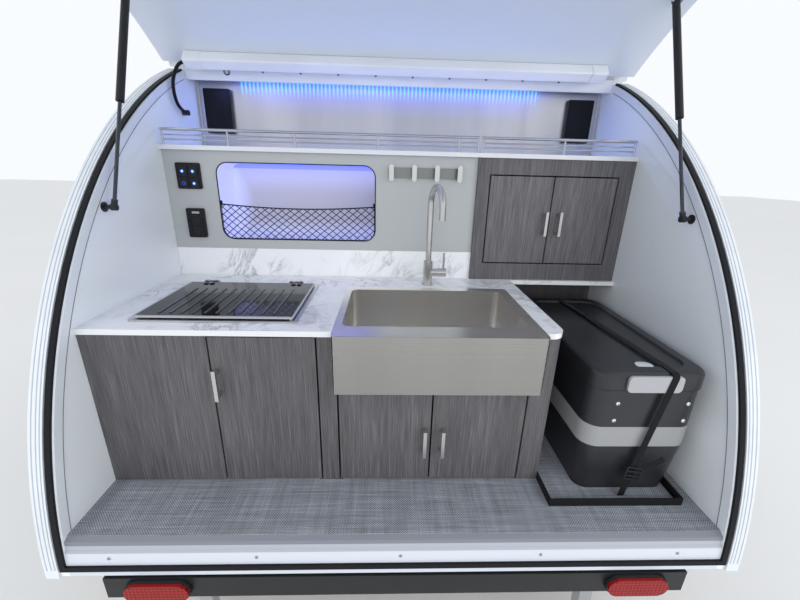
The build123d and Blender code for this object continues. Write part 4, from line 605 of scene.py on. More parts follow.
def lit_panel(name):
    """Brushed aluminium with the strip's blue light painted on it as glowing streaks spilling down it."""
    look = brushed(name, (0.57, 0.57, 0.60), (700, 700, 6), 0.26, 0.42, 0.15)
    x, _, z = look.axes()
    phase = (x - led_first) * (2 * math.pi / led_pitch)
    wave = look.step("MULTIPLY_ADD", look.step("COSINE", phase), -0.5, 0.5)
    streak = look.step("POWER", wave, 2.2)
    drop = panel_high.z - 0.030 - z
    near = look.fade(drop, -0.004, 0.062, 1.0, 0.0)
    far = look.fade(drop, 0.0, 0.14, 0.52, 0.02)
    inside = (x > led_first) & (x < led_last)
    soft_end = look.fade(abs(x + 0.045), 0.52, 0.72, 1.0, 0.0)
    # Painted light: glowing streaks just under the strip and a fainter blue glow further down the panel.
    glow = look.mix(streak & near & inside, unlit, (0.02, 0.62, 0.85))
    far_glow = look.mix(far & soft_end, unlit, (0.06, 0.07, 0.95))
    look.wear(Emission_Color=look.mix(1.0, glow, far_glow, "ADD"), Emission_Strength=1.0)
    return look


def lit_niche(name, laminate):
    """Grey laminate face; inside the recess it is white, with blue light painted on it as glow from its
    top, its left side and its foot.
    """
    look = Look(name, laminate, 0.38)
    x, y, z = look.axes()
    speckle = look.noise(500.0)
    face = look.mix(speckle, shade(laminate, 0.95), laminate)
    look.wear(Base_Color=look.mix(y > grey_y + 0.0006, face, (0.54, 0.535, 0.57)))
    # Painted light: blue glow painted inside the recess, and a brighter glow on its ceiling.
    deep = y > grey_y + 0.004
    down = look.fade(z, niche_top - 0.13, niche_top, 0.02, 0.40)
    left = look.fade(x, niche_mid.x - 0.287, niche_mid.x - 0.20, 0.55, 0.0)
    foot = look.fade(z, niche_foot, niche_top - 0.20, 0.35, 0.0)
    glow = look.mix((down | left | foot) & deep, unlit, (0.40, 0.46, 1.0))
    ceiling = (z > niche_top - 0.003) & deep
    look.wear(Emission_Color=look.mix(ceiling, glow, (0.07, 0.08, 0.95)), Emission_Strength=1.0)
    look.bumps(speckle, 0.08, 0.0003)
    return look


def glowing(name, colour, strength=1.0):
    """A small lamp's lens, faintly mottled."""
    look = Look(name, colour, 0.2, Emission_Color=colour, Emission_Strength=strength)
    look.wear(Base_Color=look.ramp(look.noise(900.0), (0.3, shade(colour, 0.9)), (0.7, colour)))
    return look


def webbing(name, colour, cell=0.0022, sheen=0.05):
    """Woven strap or cloth."""
    look = Look(name, colour, 0.85, Sheen_Weight=sheen, Sheen_Roughness=0.5, Specular_IOR_Level=0.25)
    x, y, z = look.axes(look.spots((1 / cell, 1 / cell, 1 / cell)))
    level = x + y
    crossing = look.step("SINE", level + z) * look.step("SINE", level - z)
    weave = look.step("MULTIPLY_ADD", crossing, 0.5, 0.5)
    look.wear(Base_Color=look.mix(weave, shade(colour, 0.7), shade(colour, 1.5)))
    look.bumps(weave, 0.5, 0.0006)
    return look


def tinted(name, framed):
    """Dark tinted pane; where the test of X, Y and Z holds it is the black frame round it."""
    clear = 0.85
    look = Look(name, (0.10, 0.11, 0.125), 0.03, Transmission_Weight=clear, IOR=1.45)
    look.rough(look.noise(3.0, 2.0), 0.02, 0.05)
    share = framed(*look.axes())
    look.wear(Transmission_Weight=look.node("Mix", {0: share, 2: clear, 3: 0.0}))
    return look.cover(share, (0.02, 0.021, 0.023), 0.38)


def lamp_lens(name):
    """Red lens with fine prisms behind its face."""
    look = Look(name, (0.25, 0.004, 0.004), 0.32, Specular_IOR_Level=0.25)
    x, _, z = look.axes(look.spots((620, 620, 620)))
    prisms = look.step("SINE", x) | look.step("SINE", z)
    look.bumps(prisms, 0.4, 0.0012)
    look.wear(Base_Color=look.ramp(prisms, (0.1, (0.17, 0.003, 0.003)), (0.9, (0.32, 0.008, 0.007))))
    return look


finishes = {look.name: look for look in (
    gloss_panel("white_panel", white),
    gloss_panel("roof_skin", skin_white),
    gloss_panel("door_panel", skin_white),
    paint("trim_white", (0.71, 0.75, 0.79)),
    plain("black_rubber", (0.009, 0.0095, 0.013), 0.6, 500.0, Specular_IOR_Level=0.2),
    plain("tyre_rubber", (0.020, 0.020, 0.021), 0.75, 350.0, 0.0006, 0.3, Specular_IOR_Level=0.3),
    plain("alloy", (0.62, 0.63, 0.65), 0.28, 250.0, 0.0001, 0.1, 1.0),
    lit_panel("brushed_aluminium"),
    brushed("stainless", (0.60, 0.59, 0.57), along_x),
    plain("chrome_rail", (0.52, 0.53, 0.57), 0.16, 100.0, 0.0001, 0.05, 1.0),
    grey_wood("grey_oak"),
    marble("marble_top"),
    lit_niche("grey_laminate", (0.45, 0.475, 0.48)),
    woven_floor("floor_weave"),
    plain("ply", (0.50, 0.38, 0.25), 0.6, 40.0, 0.0004, 0.3),
    plain("black_plastic", (0.014, 0.0145, 0.017), 0.48, 600.0, 0.0003, 0.35, Specular_IOR_Level=0.3),
    plain("grey_plastic", (0.008, 0.008, 0.010), 0.5, 500.0, Specular_IOR_Level=0.25),
    plain("black_glass", (0.012, 0.012, 0.014), 0.06, 20.0, 0.0001, 0.02),
    webbing("black_webbing", (0.007, 0.007, 0.009)),
    webbing("net_cord", (0.008, 0.008, 0.020), 0.0012),
    webbing("mattress_cloth", (0.42, 0.44, 0.47), 0.004, 0.3),
    tinted("tinted_glass", lambda x, y, z: (abs(x) > 0.556) | (z < 1.213) | (z > 1.803)),
    plain("chassis_black", (0.016, 0.016, 0.018), 0.42, 400.0, 0.0004, 0.3, Specular_IOR_Level=0.35),
    plain("zinc", (0.58, 0.60, 0.62), 0.38, 90.0, 0.0003, 0.2, 1.0),
    lamp_lens("lamp_red"),
    plain("lamp_white", (0.80, 0.82, 0.86), 0.3, 120.0),
    plain("bottle_paint", (0.74, 0.74, 0.72), 0.32, 60.0, 0.0004, 0.15, Coat_Weight=0.3),
)}
slot_of = {row["node"]: row["material_slot"] for row in frame["record"]["subparts"]}


def give(piece, look):
    """The piece's only material."""
    piece.data.materials.clear()
    piece.data.materials.append(look.material)
    return piece


def fitted(piece, slot, look=None, body="root"):
    """A finished piece gets its finish, the slot's own unless another is given, and its body."""
    give(piece, look or finishes[slot])
    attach(piece, body)
    return piece


# Finishes of the parts that are made of more than one stuff

def wall_finish():
    """White wall, a shade darker outside; its hinges, stud and gland are black."""
    look = gloss_panel("wall_white", white)
    away = abs(look.axes()[0])
    look.cover(away > outer_half - 0.002, skin_white, 0.3)
    return look.cover((away > outer_half + 0.0005) | (away < inner_half - 0.0005), black, 0.45)


def sill_finish():
    """White sill whose step is a grey strip, with a darker one behind it."""
    look = gloss_panel("sill_white", (0.64, 0.68, 0.75))
    _, y, z = look.axes()
    look.cover(z > floor_z - 0.0400, (0.40, 0.43, 0.48), 0.42)
    return look.cover(y > galley_y - 0.1985, (0.20, 0.215, 0.25), 0.45)


def cooler_finish():
    """Charcoal moulding with a pale band round it and a bright latch."""
    look = plain("cooler", (0.020, 0.0205, 0.024), 0.33, 900.0, 0.0002, 0.25, Specular_IOR_Level=0.5)
    _, y, z = look.axes()
    look.cover((z > floor_z + 0.172) & (z < floor_z + 0.238), (0.30, 0.305, 0.31), 0.5)
    return look.cover((y < galley_y - 0.0605) & (z > floor_z + 0.354), (0.38, 0.39, 0.41), 0.35)


def hob_finish():
    """Stainless flange over a dark pan with dark burners."""
    look = brushed("hob", (0.56, 0.57, 0.60), along_x)
    return look.cover(look.axes()[2] < floor_z + 0.4965, (0.05, 0.05, 0.052), 0.45)


def sink_finish():
    """Brushed steel, the apron in front painted darker than the bowl, as painted shade."""
    look = brushed("sink", (0.76, 0.74, 0.70), along_x)
    apron = look.axes()[1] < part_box("sink")[0].y + 0.0015
    # Painted shade: the apron's colour is mixed partway towards black.
    look.wear(Base_Color=look.mix(apron * 0.55, look.worn("Base Color"), unlit))
    return look


def top_finish(node_name):
    """Marble top with a plain pale front edge."""
    look = marble(f"{node_name}_marble")
    front = look.axes()[1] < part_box(node_name)[0].y + 0.0008
    return look.cover(front, (0.72, 0.735, 0.755), 0.2)


def lid_finish():
    """Black glass with paler ribs and a pale edge on three sides."""
    look = plain("hob_lid", (0.012, 0.012, 0.014), 0.06, 20.0, 0.0001, 0.02)
    x, y, z = look.axes()
    look.cover(z > floor_z + 0.5113, (0.065, 0.067, 0.072), 0.25)
    low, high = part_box("cooktop_lid")
    edge = (x < low.x + 0.006) | (x > high.x - 0.005) | (y < low.y + 0.007)
    return look.cover(edge, (0.42, 0.43, 0.45), 0.3)


def fittings_finish():
    """Black plastic plates; the hook rail is brushed metal with brighter hooks."""
    look = plain("fittings", (0.010, 0.010, 0.013), 0.42, 600.0, 0.0003, 0.35, Specular_IOR_Level=0.3)
    x, y, z = look.axes()
    rail = (x > -0.06) & (x < 0.23) & (z > floor_z + 0.86) & (z < floor_z + 0.93)
    look.cover(rail & (y < grey_y + 0.001), (0.27, 0.28, 0.275), 0.34, 1.0)
    return look.cover(rail & (y < grey_y - 0.005), (0.66, 0.66, 0.65), 0.12, 1.0)


def rod_finish():
    """Dark plated rod with a black ball socket at its foot."""
    look = plain("strut_rod", (0.10, 0.10, 0.115), 0.25, 300.0, 0.0001, 0.05, 1.0)
    return look.cover(look.axes()[2] < 1.404, (0.012, 0.012, 0.013), 0.5)


def hatch_finish():
    """White hatch, its lining painted a shade darker and bluer than its skin, as painted shade with
    painted blue light.
    """
    look = gloss_panel("hatch_white", skin_white)
    joint = next(row for row in frame["record"]["behaviour"]["joints"] if row["name"] == "hatch_hinge")
    hinge = Vector(joint["pos_m"])
    lift = Matrix.Rotation(math.radians(joint["range_deg"][0]), 3, "X")
    centre = hinge + lift @ (rear_centre - hinge)
    flat = look.spots((0, 1, 1), shift=-centre)
    reach = look.node("VectorMath", {0: flat}, "Value", operation="LENGTH")
    # Painted shade with painted blue light: the lining inside the arc gets a darker, bluer white.
    return look.cover(reach < rear_radius + 0.0135, (0.68, 0.74, 0.83), 0.3)


def entry_door_finish(side):
    """White door with its black handle and hinges outside."""
    look = gloss_panel(f"door_{side}", skin_white)
    return look.cover(abs(look.axes()[0]) > outer_half + 0.0005, black, 0.4)


def window_finish(side):
    """Tinted pane of a door with its black frame."""
    low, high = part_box(f"entry_door_{side}_window")
    bar = 0.025
    return tinted(f"pane_{side}", lambda x, y, z: (y < low.y + bar) | (y > high.y - bar)
                  | (z < low.z + bar) | (z > high.z - bar))


def cabinet_door_finish(name):
    """Grey oak door whose bar handle, in front of its face, is brushed metal."""
    # Painted light: the upper doors get the same oak made paler than the lower doors'.
    cabinet, lift = ("upper_cabinet", 1.35) if name.startswith("upper") else ("base_cabinet", 1.0)
    look = grey_wood(name, lift)
    handle = look.axes()[1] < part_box(cabinet)[0].y - 0.0005
    return look.cover(handle, (0.62, 0.61, 0.60), 0.28, 1.0)


for node_name, node in nodes.items():
    give(node, finishes[slot_of[node_name]])
for word, _ in SIDES:
    give(nodes[f"wall_{word}"], wall_finish())
    give(nodes[f"entry_door_{word}"], entry_door_finish(word))
    give(nodes[f"entry_door_{word}_window"], window_finish(word))
    give(nodes[f"strut_{word}_rod"], rod_finish())
for node_name in ("countertop", "galley_shelf"):
    give(nodes[node_name], top_finish(node_name))
for node_name in nodes:
    if node_name == "galley_door" or node_name.startswith(("sink_door", "upper_door")):
        give(nodes[node_name], cabinet_door_finish(node_name))
for node_name, look in {
        "hatch_shell": hatch_finish(), "rear_sill": sill_finish(), "fridge": cooler_finish(),
        "cooktop": hob_finish(), "cooktop_lid": lid_finish(), "sink": sink_finish(),
        # The upper cabinet's oak is made paler too: painted light.
        "galley_fittings": fittings_finish(), "upper_cabinet": grey_wood("upper_oak_painted_light", 1.2),
        "hatch_header": paint("header_white", (0.80, 0.83, 0.86))}.items():
    give(nodes[node_name], look)


def landing(node, start, way=(0, 1, 0)):
    """Where a line from a point first meets a part, and the way the part faces there."""
    hit, place, normal, _ = nodes[node].ray_cast(Vector(start), Vector(way).normalized())
    if not hit:
        raise ValueError(f"{node} isn't in the way of {tuple(start)}")
    return place, normal


# Conduit from the left wall to the light bar, the one free cord; each x counts from that wall
conduit_r = 0.006
conduit_route = [in_galley(x - 0.8635, y, z) for x, y, z in (
    (0.0482, 0.716, 1.266), (0.0295, 0.716, 1.266), (0.0175, 0.696, 1.234), (0.0155, 0.668, 1.190),
    (0.0155, 0.668, 1.140), (0.0155, 0.692, 1.106), (0.0155, 0.7317, 1.098))]


def conduit():
    """Black conduit along its route, in place of the imported cable."""
    line = centreline(conduit_route)
    piece = give(tube("conduit", conduit_route, conduit_r, 16), finishes["black_rubber"])
    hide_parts("hatch_cable")
    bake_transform(piece)


conduit()


# Niche: net, black edge and light

def cut_away(piece, at, way):
    """Cut the piece by a plane and take away what lies beyond it."""
    choose(piece, "VERT")
    bpy.ops.mesh.select_all(action="SELECT")
    bpy.ops.mesh.bisect(plane_co=at, plane_no=way, clear_outer=True)
    done()


def niche_net():
    """Diamond net: a grid stood on its corner, cut to the niche's outline, made of cord and sagging."""
    wide, tall = 0.0315, 0.027          # one diamond
    cells = 26
    net_height = 0.129
    corner = 0.041
    half = niche_size[0] / 2 - 0.0025
    net = primitive("niche_net_cord", bpy.ops.mesh.primitive_grid_add, x_subdivisions=cells,
                    y_subdivisions=cells, size=cells * wide / math.sqrt(2), rotation=(0, 0, math.pi / 4))
    settle(net)
    net.scale.y = tall / wide
    settle(net)
    net.data.transform(Matrix.Translation((0, net_height / 2, 0)))
    cut_away(net, (0, net_height, 0), (0, 1, 0))
    cut_away(net, (0, 0.0015, 0), (0, -1, 0))
    for _, side in SIDES:
        cut_away(net, (side * half, 0, 0), (side, 0, 0))
        for turn in (math.radians(22), math.radians(45), math.radians(68)):
            way = Vector((side * math.cos(turn), -math.sin(turn), 0))
            cut_away(net, Vector((side * (half - corner), corner, 0)) + corner * way, way)
    for point in net.data.vertices:
        spread = 1 - (point.co.x / half) ** 2
        rise = point.co.y / net_height
        point.co.y -= 0.013 * spread * rise ** 1.5
        point.co.z = 0.004 * spread * math.sin(math.pi * min(1, rise))
    facing(net, (niche_mid.x, grey_y + 0.002, niche_foot))
    modify(net, "WIREFRAME", thickness=0.0029, use_boundary=True)
    top = niche_foot + net_height
    rim = [Vector((niche_mid.x + share * half, grey_y + 0.002 - 0.001 * (1 - share ** 2),
                   top - 0.0135 * (1 - share ** 2))) for share in (-1, -0.8, -0.4, 0, 0.4, 0.8, 1)]
    cord = tube("net_rim", rim, 0.0023, 8)
    clip = facing(slab("clip", 0.007, 0.018, 0.005, 0.002, 0.001),
                  (niche_mid.x, grey_y + 0.003, top + 0.004))
    net = joined("niche_net_cord", [net, cord, pair("clips", clip, half - 0.002)])
    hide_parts("niche_net")
    fitted(net, "net_cord")


niche_net()
edge_lap = 0.004                                # how much wider than the recess its black edge is
niche_edge = ring("niche_edge", niche_size[0] + edge_lap, niche_size[1] + edge_lap, 0.044, 0.0035,
                  0.003, 0.0008)
fitted(facing(niche_edge, niche_mid), "black_rubber")
niche_light = slab("niche_light", niche_size[0] - 0.012, 0.018, 0.009, 0.006, 0.002)
fitted(facing(niche_light, (niche_mid.x, grey_y + 0.155, niche_top - 0.010)), "lamp_white",
       glowing("niche_glow", (0.17, 0.21, 0.92)))


# Light strip under the header, over the aluminium panel

def light_strip():
    """Channel along the panel with a row of small lamps that face down it."""
    strip_z = panel_high.z - 0.022
    channel = block("light_channel", (led_first - 0.004, panel_y - 0.011, strip_z),
                    (led_last + 0.004, panel_y, strip_z + 0.012))
    choose(channel, "FACE", lambda middle, normal: normal.z < -0.9)
    bpy.ops.mesh.inset(thickness=0.0014)
    bpy.ops.mesh.extrude_region_move(TRANSFORM_OT_translate={"value": (0, 0, 0.006)})
    done()
    soften(channel, 0.0004, 1)
    fitted(channel, "brushed_aluminium", finishes["zinc"])
    count = int((led_last - led_first) / led_pitch)
    start = (led_first + led_last) / 2 - (count - 1) * led_pitch / 2
    model = block("lamps", (-0.0028, -0.0018, 0), (0.0028, 0.0018, 0.0016), 0.0005, 1)
    lamps = copies("strip_lamps", model, [(start + n * led_pitch, panel_y - 0.0055, strip_z + 0.0048)
                                          for n in range(count)])
    fitted(lamps, "lamp_white", glowing("lamp_glow", (0.55, 0.80, 1.0)))


light_strip()


# Trims of the aluminium panel, speakers, switches, outlet

trim = block("trim", (-0.0055, panel_y - 0.0028, panel_low.z + 0.001),
             (0.0055, panel_y, panel_high.z - 0.026), 0.001, 2)
fitted(pair("panel_trims", trim, 0.857), "trim_white", paint("pale_trim", (0.60, 0.61, 0.66)))


def plate_face(x, z):
    """Face of the fitting at this place on the back wall."""
    return landing("galley_fittings", in_galley(x, 0, z))[0]


for word, side in SIDES:
    face = plate_face(side * 0.775, 1.121)
    rim = facing(ring("speaker_frame", 0.110, 0.172, 0.006, 0.006, 0.0025, 0.001), face)
    cloth = facing(slab("speaker_cloth", 0.099, 0.161, 0.0012, 0.003, 0.0005), face)
    fitted(joined(f"speaker_{word}", [rim, cloth]), "black_plastic",
           webbing(f"speaker_cloth_{word}", (0.010, 0.010, 0.013), 0.0016))


def switches():
    """Four rocker switches with their round lamps, three of them lit."""
    middle = plate_face(-0.777, 0.8665)
    places = [(-0.0185, 0, 0.018), (0.0185, 0, 0.018), (0.0185, 0, -0.024), (-0.0185, 0, -0.024)]
    rocker = facing(slab("rocker", 0.031, 0.036, 0.0035, 0.004, 0.0012), middle)
    fitted(copies("switch_rockers", rocker, places), "black_plastic")
    rim = [(0.0068, 0), (0.0068, 0.0008), (0.0050, 0.0012)]
    lens = [(0.0042, 0.0008), (0.0040, 0.0020), (0.0022, 0.0028)]
    for name, rows, spots, look in (
            ("switch_rims", rim, places, glowing("blue_rim", (0.01, 0.05, 0.42), 0.55)),
            ("switch_lamps", lens, places[:3], glowing("blue_white", (0.30, 0.55, 1.0))),
            ("switch_lamp_off", lens, places[3:], plain("dark_lens", (0.02, 0.02, 0.06), 0.2))):
        model = turned(name, middle + Vector((0, -0.0035, -0.002)), (0, -1, 0), rows, 20)
        fitted(copies(name, model, spots), "lamp_white", look)


switches()


def outlet():
    """Socket plate: a pale slot at its top and two sockets under a shallow frame."""
    middle = plate_face(-0.7715, 0.698)

    def fixed(piece, right, out, up):
        return facing(piece, middle + Vector((right, -out, up)))

    pieces = [fixed(ring("cover", 0.048, 0.074, 0.004, 0.004, 0.002, 0.0008), 0, 0, -0.010)]
    for up in (0.008, -0.028):
        pieces += [fixed(slab("slot", 0.0022, tall, 0.0006, 0.0004), right, 0.0014, up + 0.003)
                   for right, tall in ((-0.006, 0.008), (0.006, 0.0065))]
        pieces.append(fixed(slab("socket", 0.030, 0.026, 0.0016, 0.006, 0.0006), 0, 0, up))
    fitted(joined("outlet_cover", pieces), "black_plastic")
    slot = fixed(slab("outlet_slot", 0.027, 0.0075, 0.0016, 0.002, 0.0005), 0.0025, 0, 0.039)
    fitted(slot, "chrome_rail", paint("slot_metal", (0.42, 0.42, 0.43)))


outlet()


# Returns of the edge trim with a painted shadow line, painted shade of the trim's grooves, panel behind
# the cooler, mat in its tray

def arc_strip(name, radii, across, angles):
    """Strip spun round the rear arc's middle; angles from +Y, in degrees."""
    start, end = (math.radians(angle) for angle in angles)
    out = Vector((0, math.cos(start), math.sin(start)))
    strip = primitive(name, bpy.ops.mesh.primitive_plane_add, size=1)
    strip.scale = (radii[1] - radii[0], across[1] - across[0], 1)
    settle(strip)
    stand(strip, rear_centre + sum(radii) / 2 * out + Vector((sum(across) / 2, 0, 0)), out, (1, 0, 0))
    choose(strip, "FACE")
    bpy.ops.mesh.spin(steps=90, angle=start - end, center=rear_centre, axis=(1, 0, 0))
    face_out()
    smooth(strip)
    return strip


def both_sides(name, radii, low, high, look, angles=(111.3, 172.2)):
    """The same strip on both walls; low and high are distances from the middle."""
    strips = [arc_strip(name, radii, sorted((side * low, side * high)), angles) for _, side in SIDES]
    fitted(joined(name, strips), "trim_white", look)


both_sides("edge_returns", (1.5345, 1.5590), inner_half - 0.0016, inner_half,
           paint("return_white", (0.74, 0.78, 0.83)))
# Painted shadow: a thin dark strip along the returns' inner border, where the gap's shadow falls.
both_sides("return_shadow_lines", (1.5325, 1.5345), inner_half - 0.0022, inner_half,
           paint("shadow_line_grey", (0.17, 0.18, 0.22), 0.5))
# Painted shade: thin grey strips on the trim's face where its grooves are.
groove_half = 0.0012
groove_shade_grey = paint("groove_shade_grey", (0.40, 0.44, 0.50), 0.4)
for number, x in enumerate((0.890, 0.899, 0.910), 1):
    both_sides(f"trim_groove_{number}", (1.5665, 1.5673), x - groove_half, x + groove_half,
               groove_shade_grey, (111.0, 175.5))

cabinet_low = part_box("upper_cabinet")[0]
fitted(block("bay_back", (cabinet_low.x + 0.001, -0.826, floor_z + 0.001),
             (inner_half - 0.0006, -0.811, cabinet_low.z - 0.001), 0.0008, 1), "grey_oak")

tray_low, tray_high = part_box("fridge_tray")
tray_mid, tray_size = (tray_low + tray_high) / 2, tray_high - tray_low
tray_rims = 0.016
mat = slab("tray_mat", tray_size.x - tray_rims, tray_size.y - tray_rims, 0.0012, 0.004, 0.0004)
fitted(stand(mat, (tray_mid.x, tray_mid.y, tray_low.z + 0.0022), (1, 0, 0), (0, 1, 0)), "floor_weave")


# Screws, each set modelled once and copied, and the header's lock

def screws(name, rows, places, look):
    """Copies of one turned head at each place, turned to the way the surface faces."""
    model = turned(name, (0, 0, 0), UP, rows, 14)
    turns = [Matrix.Translation(at) @ UP.rotation_difference(way).to_matrix().to_4x4()
             for at, way in places]
    fitted(copies(name, model, turns), "zinc", look)


def on_header(x, z):
    """Place on the header's slanted face, and the way it faces."""
    return landing("hatch_header", (x, -0.9, z - 0.07), (0, 0.189, 0.07))


pan_head = [(0.0046, 0), (0.0046, 0.0008), (0.0034, 0.0022), (0.0014, 0.0024), (0.0011, 0.0012)]
dome_head = [(0.0058, 0), (0.0058, 0.0012), (0.0042, 0.0032), (0.0016, 0.0040)]
dark_metal = fastener("dark_metal", (0.13, 0.13, 0.15))
screws("header_screws", pan_head, [on_header(-0.556 + 0.1489 * n, 1.858) for n in range(9)], dark_metal)
screws("sill_screws", pan_head,
       [landing("rear_sill", (-0.756 + 0.3745 * n, -1.9, 0.545)) for n in range(5)],
       fastener("sill_screw", (0.42, 0.43, 0.45)))
screws("cooler_screws", dome_head,
       [landing("fridge", in_galley(x, -0.2, z)) for x in (0.585, 0.783) for z in (0.315, 0.260)],
       fastener("bright_screw", (0.80, 0.82, 0.84), 0.2, 0.6))
for name, rows, sides, look in (
        ("header_lock", [(0.0125, 0), (0.0125, 0.0030), (0.0105, 0.0042), (0.0080, 0.0020)], 28,
         dark_metal),
        ("lock_core", [(0.0072, 0.0006), (0.0072, 0.0034), (0.0055, 0.0042)], 24,
         fastener("lock_bright", (0.60, 0.61, 0.63), 0.3))):
    fitted(turned(name, *on_header(-0.697, 1.855), rows, sides), "zinc", look)


# Cooler: bare oval plate on the lid, strap over it and its buckle

lid_spot = landing("fridge", in_galley(0.6725, -0.002, 0.5), (0, 0, -1))[0]
oval = slab("cooler_plate", 0.048, 0.034, 0.0018, 0.0168, 0.0006)
fitted(stand(oval, lid_spot, (1, -0.04, 0), (0.04, 1, 0)), "trim_white",
       plain("oval_white", (0.72, 0.73, 0.75), 0.3, 100.0))

strap_half, strap_thick = 0.0100, 0.0018
strap_low, strap_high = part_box("fridge_strap")
strap_top = strap_high.z - 0.0012
strap_front = strap_low.y + 0.0012
strap_back = strap_high.y - 0.0012
foot_z = strap_low.z + 0.001


def ribbon(name, path, wide):
    """Strap along a smooth path, and its length; wide is the way across it."""
    line = centreline(path)
    last = len(line) - 1
    strap = primitive(name, bpy.ops.mesh.primitive_grid_add, x_subdivisions=last, y_subdivisions=4,
                      size=2)
    for point in strap.data.vertices:
        along = round((point.co.x + 1) / 2 * last)
        point.co = line[along] + strap_half * point.co.y * wide
    modify(strap, "SOLIDIFY", thickness=strap_thick, offset=0)
    soften(strap, strap_thick * 0.3, 1, 60)
    return strap, length_of(line)


strap_path = [
    (0.651, strap_front, foot_z), (0.672, strap_front, 0.73), (0.697, strap_front, 0.88),
    (0.7135, strap_front, 0.975), (0.7195, strap_front, strap_top),
    (0.720, strap_front + 0.030, strap_top), (0.700, -1.32, strap_top),
    (0.682, -1.10, strap_top), (0.669, strap_back - 0.030, strap_top), (0.667, strap_back, strap_top),
    (0.666, strap_back, strap_top - 0.030), (0.666, strap_back, 0.80), (0.666, strap_back, foot_z)]
strap, strap_length = ribbon("cooler_strap", strap_path, Vector((1, 0, 0)))
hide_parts("fridge_strap")
fitted(strap, "black_webbing")


def buckle():
    """Ladder buckle on the strap's front with its bars, and the strap's loose end beside it."""
    along = Vector((0.15, 0, 1)).normalized()
    wide = Vector((1, 0, -0.15)).normalized()
    at = Vector((0.668, strap_front - 0.0012, 0.690))
    rim = stand(ring("rim", 0.050, 0.046, 0.006, 0.0055, 0.005, 0.0015), at, wide, along)
    bars = [stand(slab("bar", 0.042, 0.0055, 0.006, 0.001, 0.0015), at + up * along, wide, along)
            for up in (-0.007, 0.008)]
    fitted(joined("strap_buckle", [rim] + bars), "black_plastic")
    start = Vector((0.690, strap_front - 0.004, 0.712))
    way = Vector((0.76, 0, 0.65)).normalized()
    path = [start + reach * way - Vector((0, out, 0))
            for reach, out in ((0, 0), (0.020, 0.006), (0.042, 0.011), (0.062, 0.010))]
    tail, length = ribbon("strap_tail", path, Vector((0.65, 0, -0.76)))
    fitted(tail, "black_webbing")


buckle()


# Hinge pads of the hob's lid, standing on its glass

lid_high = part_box("cooktop_lid")[1]
pad = block("pad", (-0.007, lid_high.y - 0.050, lid_high.z - 0.0022),
            (0.007, lid_high.y - 0.036, lid_high.z + 0.0006), 0.0012, 2)
pads = copies("lid_pads", pad, [(x, 0, 0) for x in (-0.686, -0.666, -0.383, -0.363)])
fitted(pads, "black_rubber", body="cooktop_lid")


# Wheels

wheel_x, wheel_y, wheel_z = 1.0325, -0.382, 0.324       # middle of the right tyre


def tyre(word, side):
    """Tyre: its section drawn round, grooves between the ribs and cross cuts in them."""
    half_section = [
        (0.1800, 0.0765), (0.1940, 0.0765), (0.2080, 0.0850), (0.2300, 0.0935), (0.2550, 0.0968),
        (0.2780, 0.0935), (0.2860, 0.0915), (0.2880, 0.0922), (0.2920, 0.0905), (0.3060, 0.0815),
        (0.3160, 0.0740), (0.3215, 0.0680), (0.3238, 0.0620)]
    groove = [(0.3238, 0.0052), (0.3170, 0.0036), (0.3170, -0.0036), (0.3238, -0.0052)]
    tread = [(radius, middle + along) for middle in (0.034, 0.0, -0.034) for radius, along in groove]
    section = half_section + tread + [(radius, -along) for radius, along in reversed(half_section)]
    segments = 120
    hub = Vector((side * wheel_x, wheel_y, wheel_z))
    piece = turned(f"tyre_{word}", hub, (1, 0, 0), section, segments, closed=False)

    def cross_cut(middle, normal):
        """Every third face of the shoulders and every fourth of the middle ribs."""
        out = middle - hub
        if math.hypot(out.y, out.z) < 0.3225:
            return False
        step = int((math.atan2(out.z, out.y) + math.pi) / (2 * math.pi / segments))
        return step % 3 == 0 if abs(out.x) > 0.036 else (step + (1 if out.x > 0 else 3)) % 4 == 0

    choose(piece, "FACE", cross_cut)
    bpy.ops.mesh.extrude_region_shrink_fatten(TRANSFORM_OT_shrink_fatten={"value": -0.0055})
    done()
    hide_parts(f"wheel_{word}_tyre")
    fitted(piece, "tyre_rubber", body=f"wheel_{word}")


def wheel_hardware(word, side):
    """Five wheel nuts and the hub's cap."""
    nut_circle, nut_foot = 0.055, wheel_x + 0.028
    cap_foot = 1.0803
    model = turned("nut", (0, 0, 0), (side, 0, 0),
                   [(0.0105, 0), (0.0105, 0.010), (0.0085, 0.0165), (0.0040, 0.0190)], 6)
    turns = [math.radians(36 + 72 * n) for n in range(5)]
    nuts = copies("nuts", model, [(side * nut_foot, wheel_y + nut_circle * math.cos(turn),
                                   wheel_z + nut_circle * math.sin(turn)) for turn in turns])
    cap = turned("cap", (side * cap_foot, wheel_y, wheel_z), (side, 0, 0),
                 [(0.0372, 0), (0.0372, 0.007), (0.0340, 0.011), (0.0240, 0.0135), (0.0090, 0.0142)], 36)
    fitted(joined(f"wheel_{word}_nuts", [nuts, cap]), "zinc", body=f"wheel_{word}")


for word, side in SIDES:
    tyre(word, side)
    wheel_hardware(word, side)


# Rubber round the doors and their windows, and bezels round the tail lamps

def rubber_round(low, high, side, gap, corner, bar, thick, edge):
    """Rubber ring on the outside of a wall, round what lies between two corners."""
    rubber = ring("rubber", high.y - low.y + gap, high.z - low.z + gap, corner, bar, thick, edge)
    _, y, z = (low + high) / 2
    return stand(rubber, (side * outer_half, y, z), (0, side, 0), UP)


door_low, door_high = Vector((0, 0.053, 0.580)), Vector((0, 0.723, 1.645))
for word, side in SIDES:
    seal = rubber_round(door_low, door_high, side, 0.005, 0.095, 0.009, 0.0028, 0.001)
    gasket = rubber_round(*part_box(f"entry_door_{word}_window"), side, 0.010, 0.085, 0.008, 0.0095, 0.002)
    fitted(joined(f"door_{word}_rubber", [seal, gasket]), "black_rubber", body=f"entry_door_{word}")

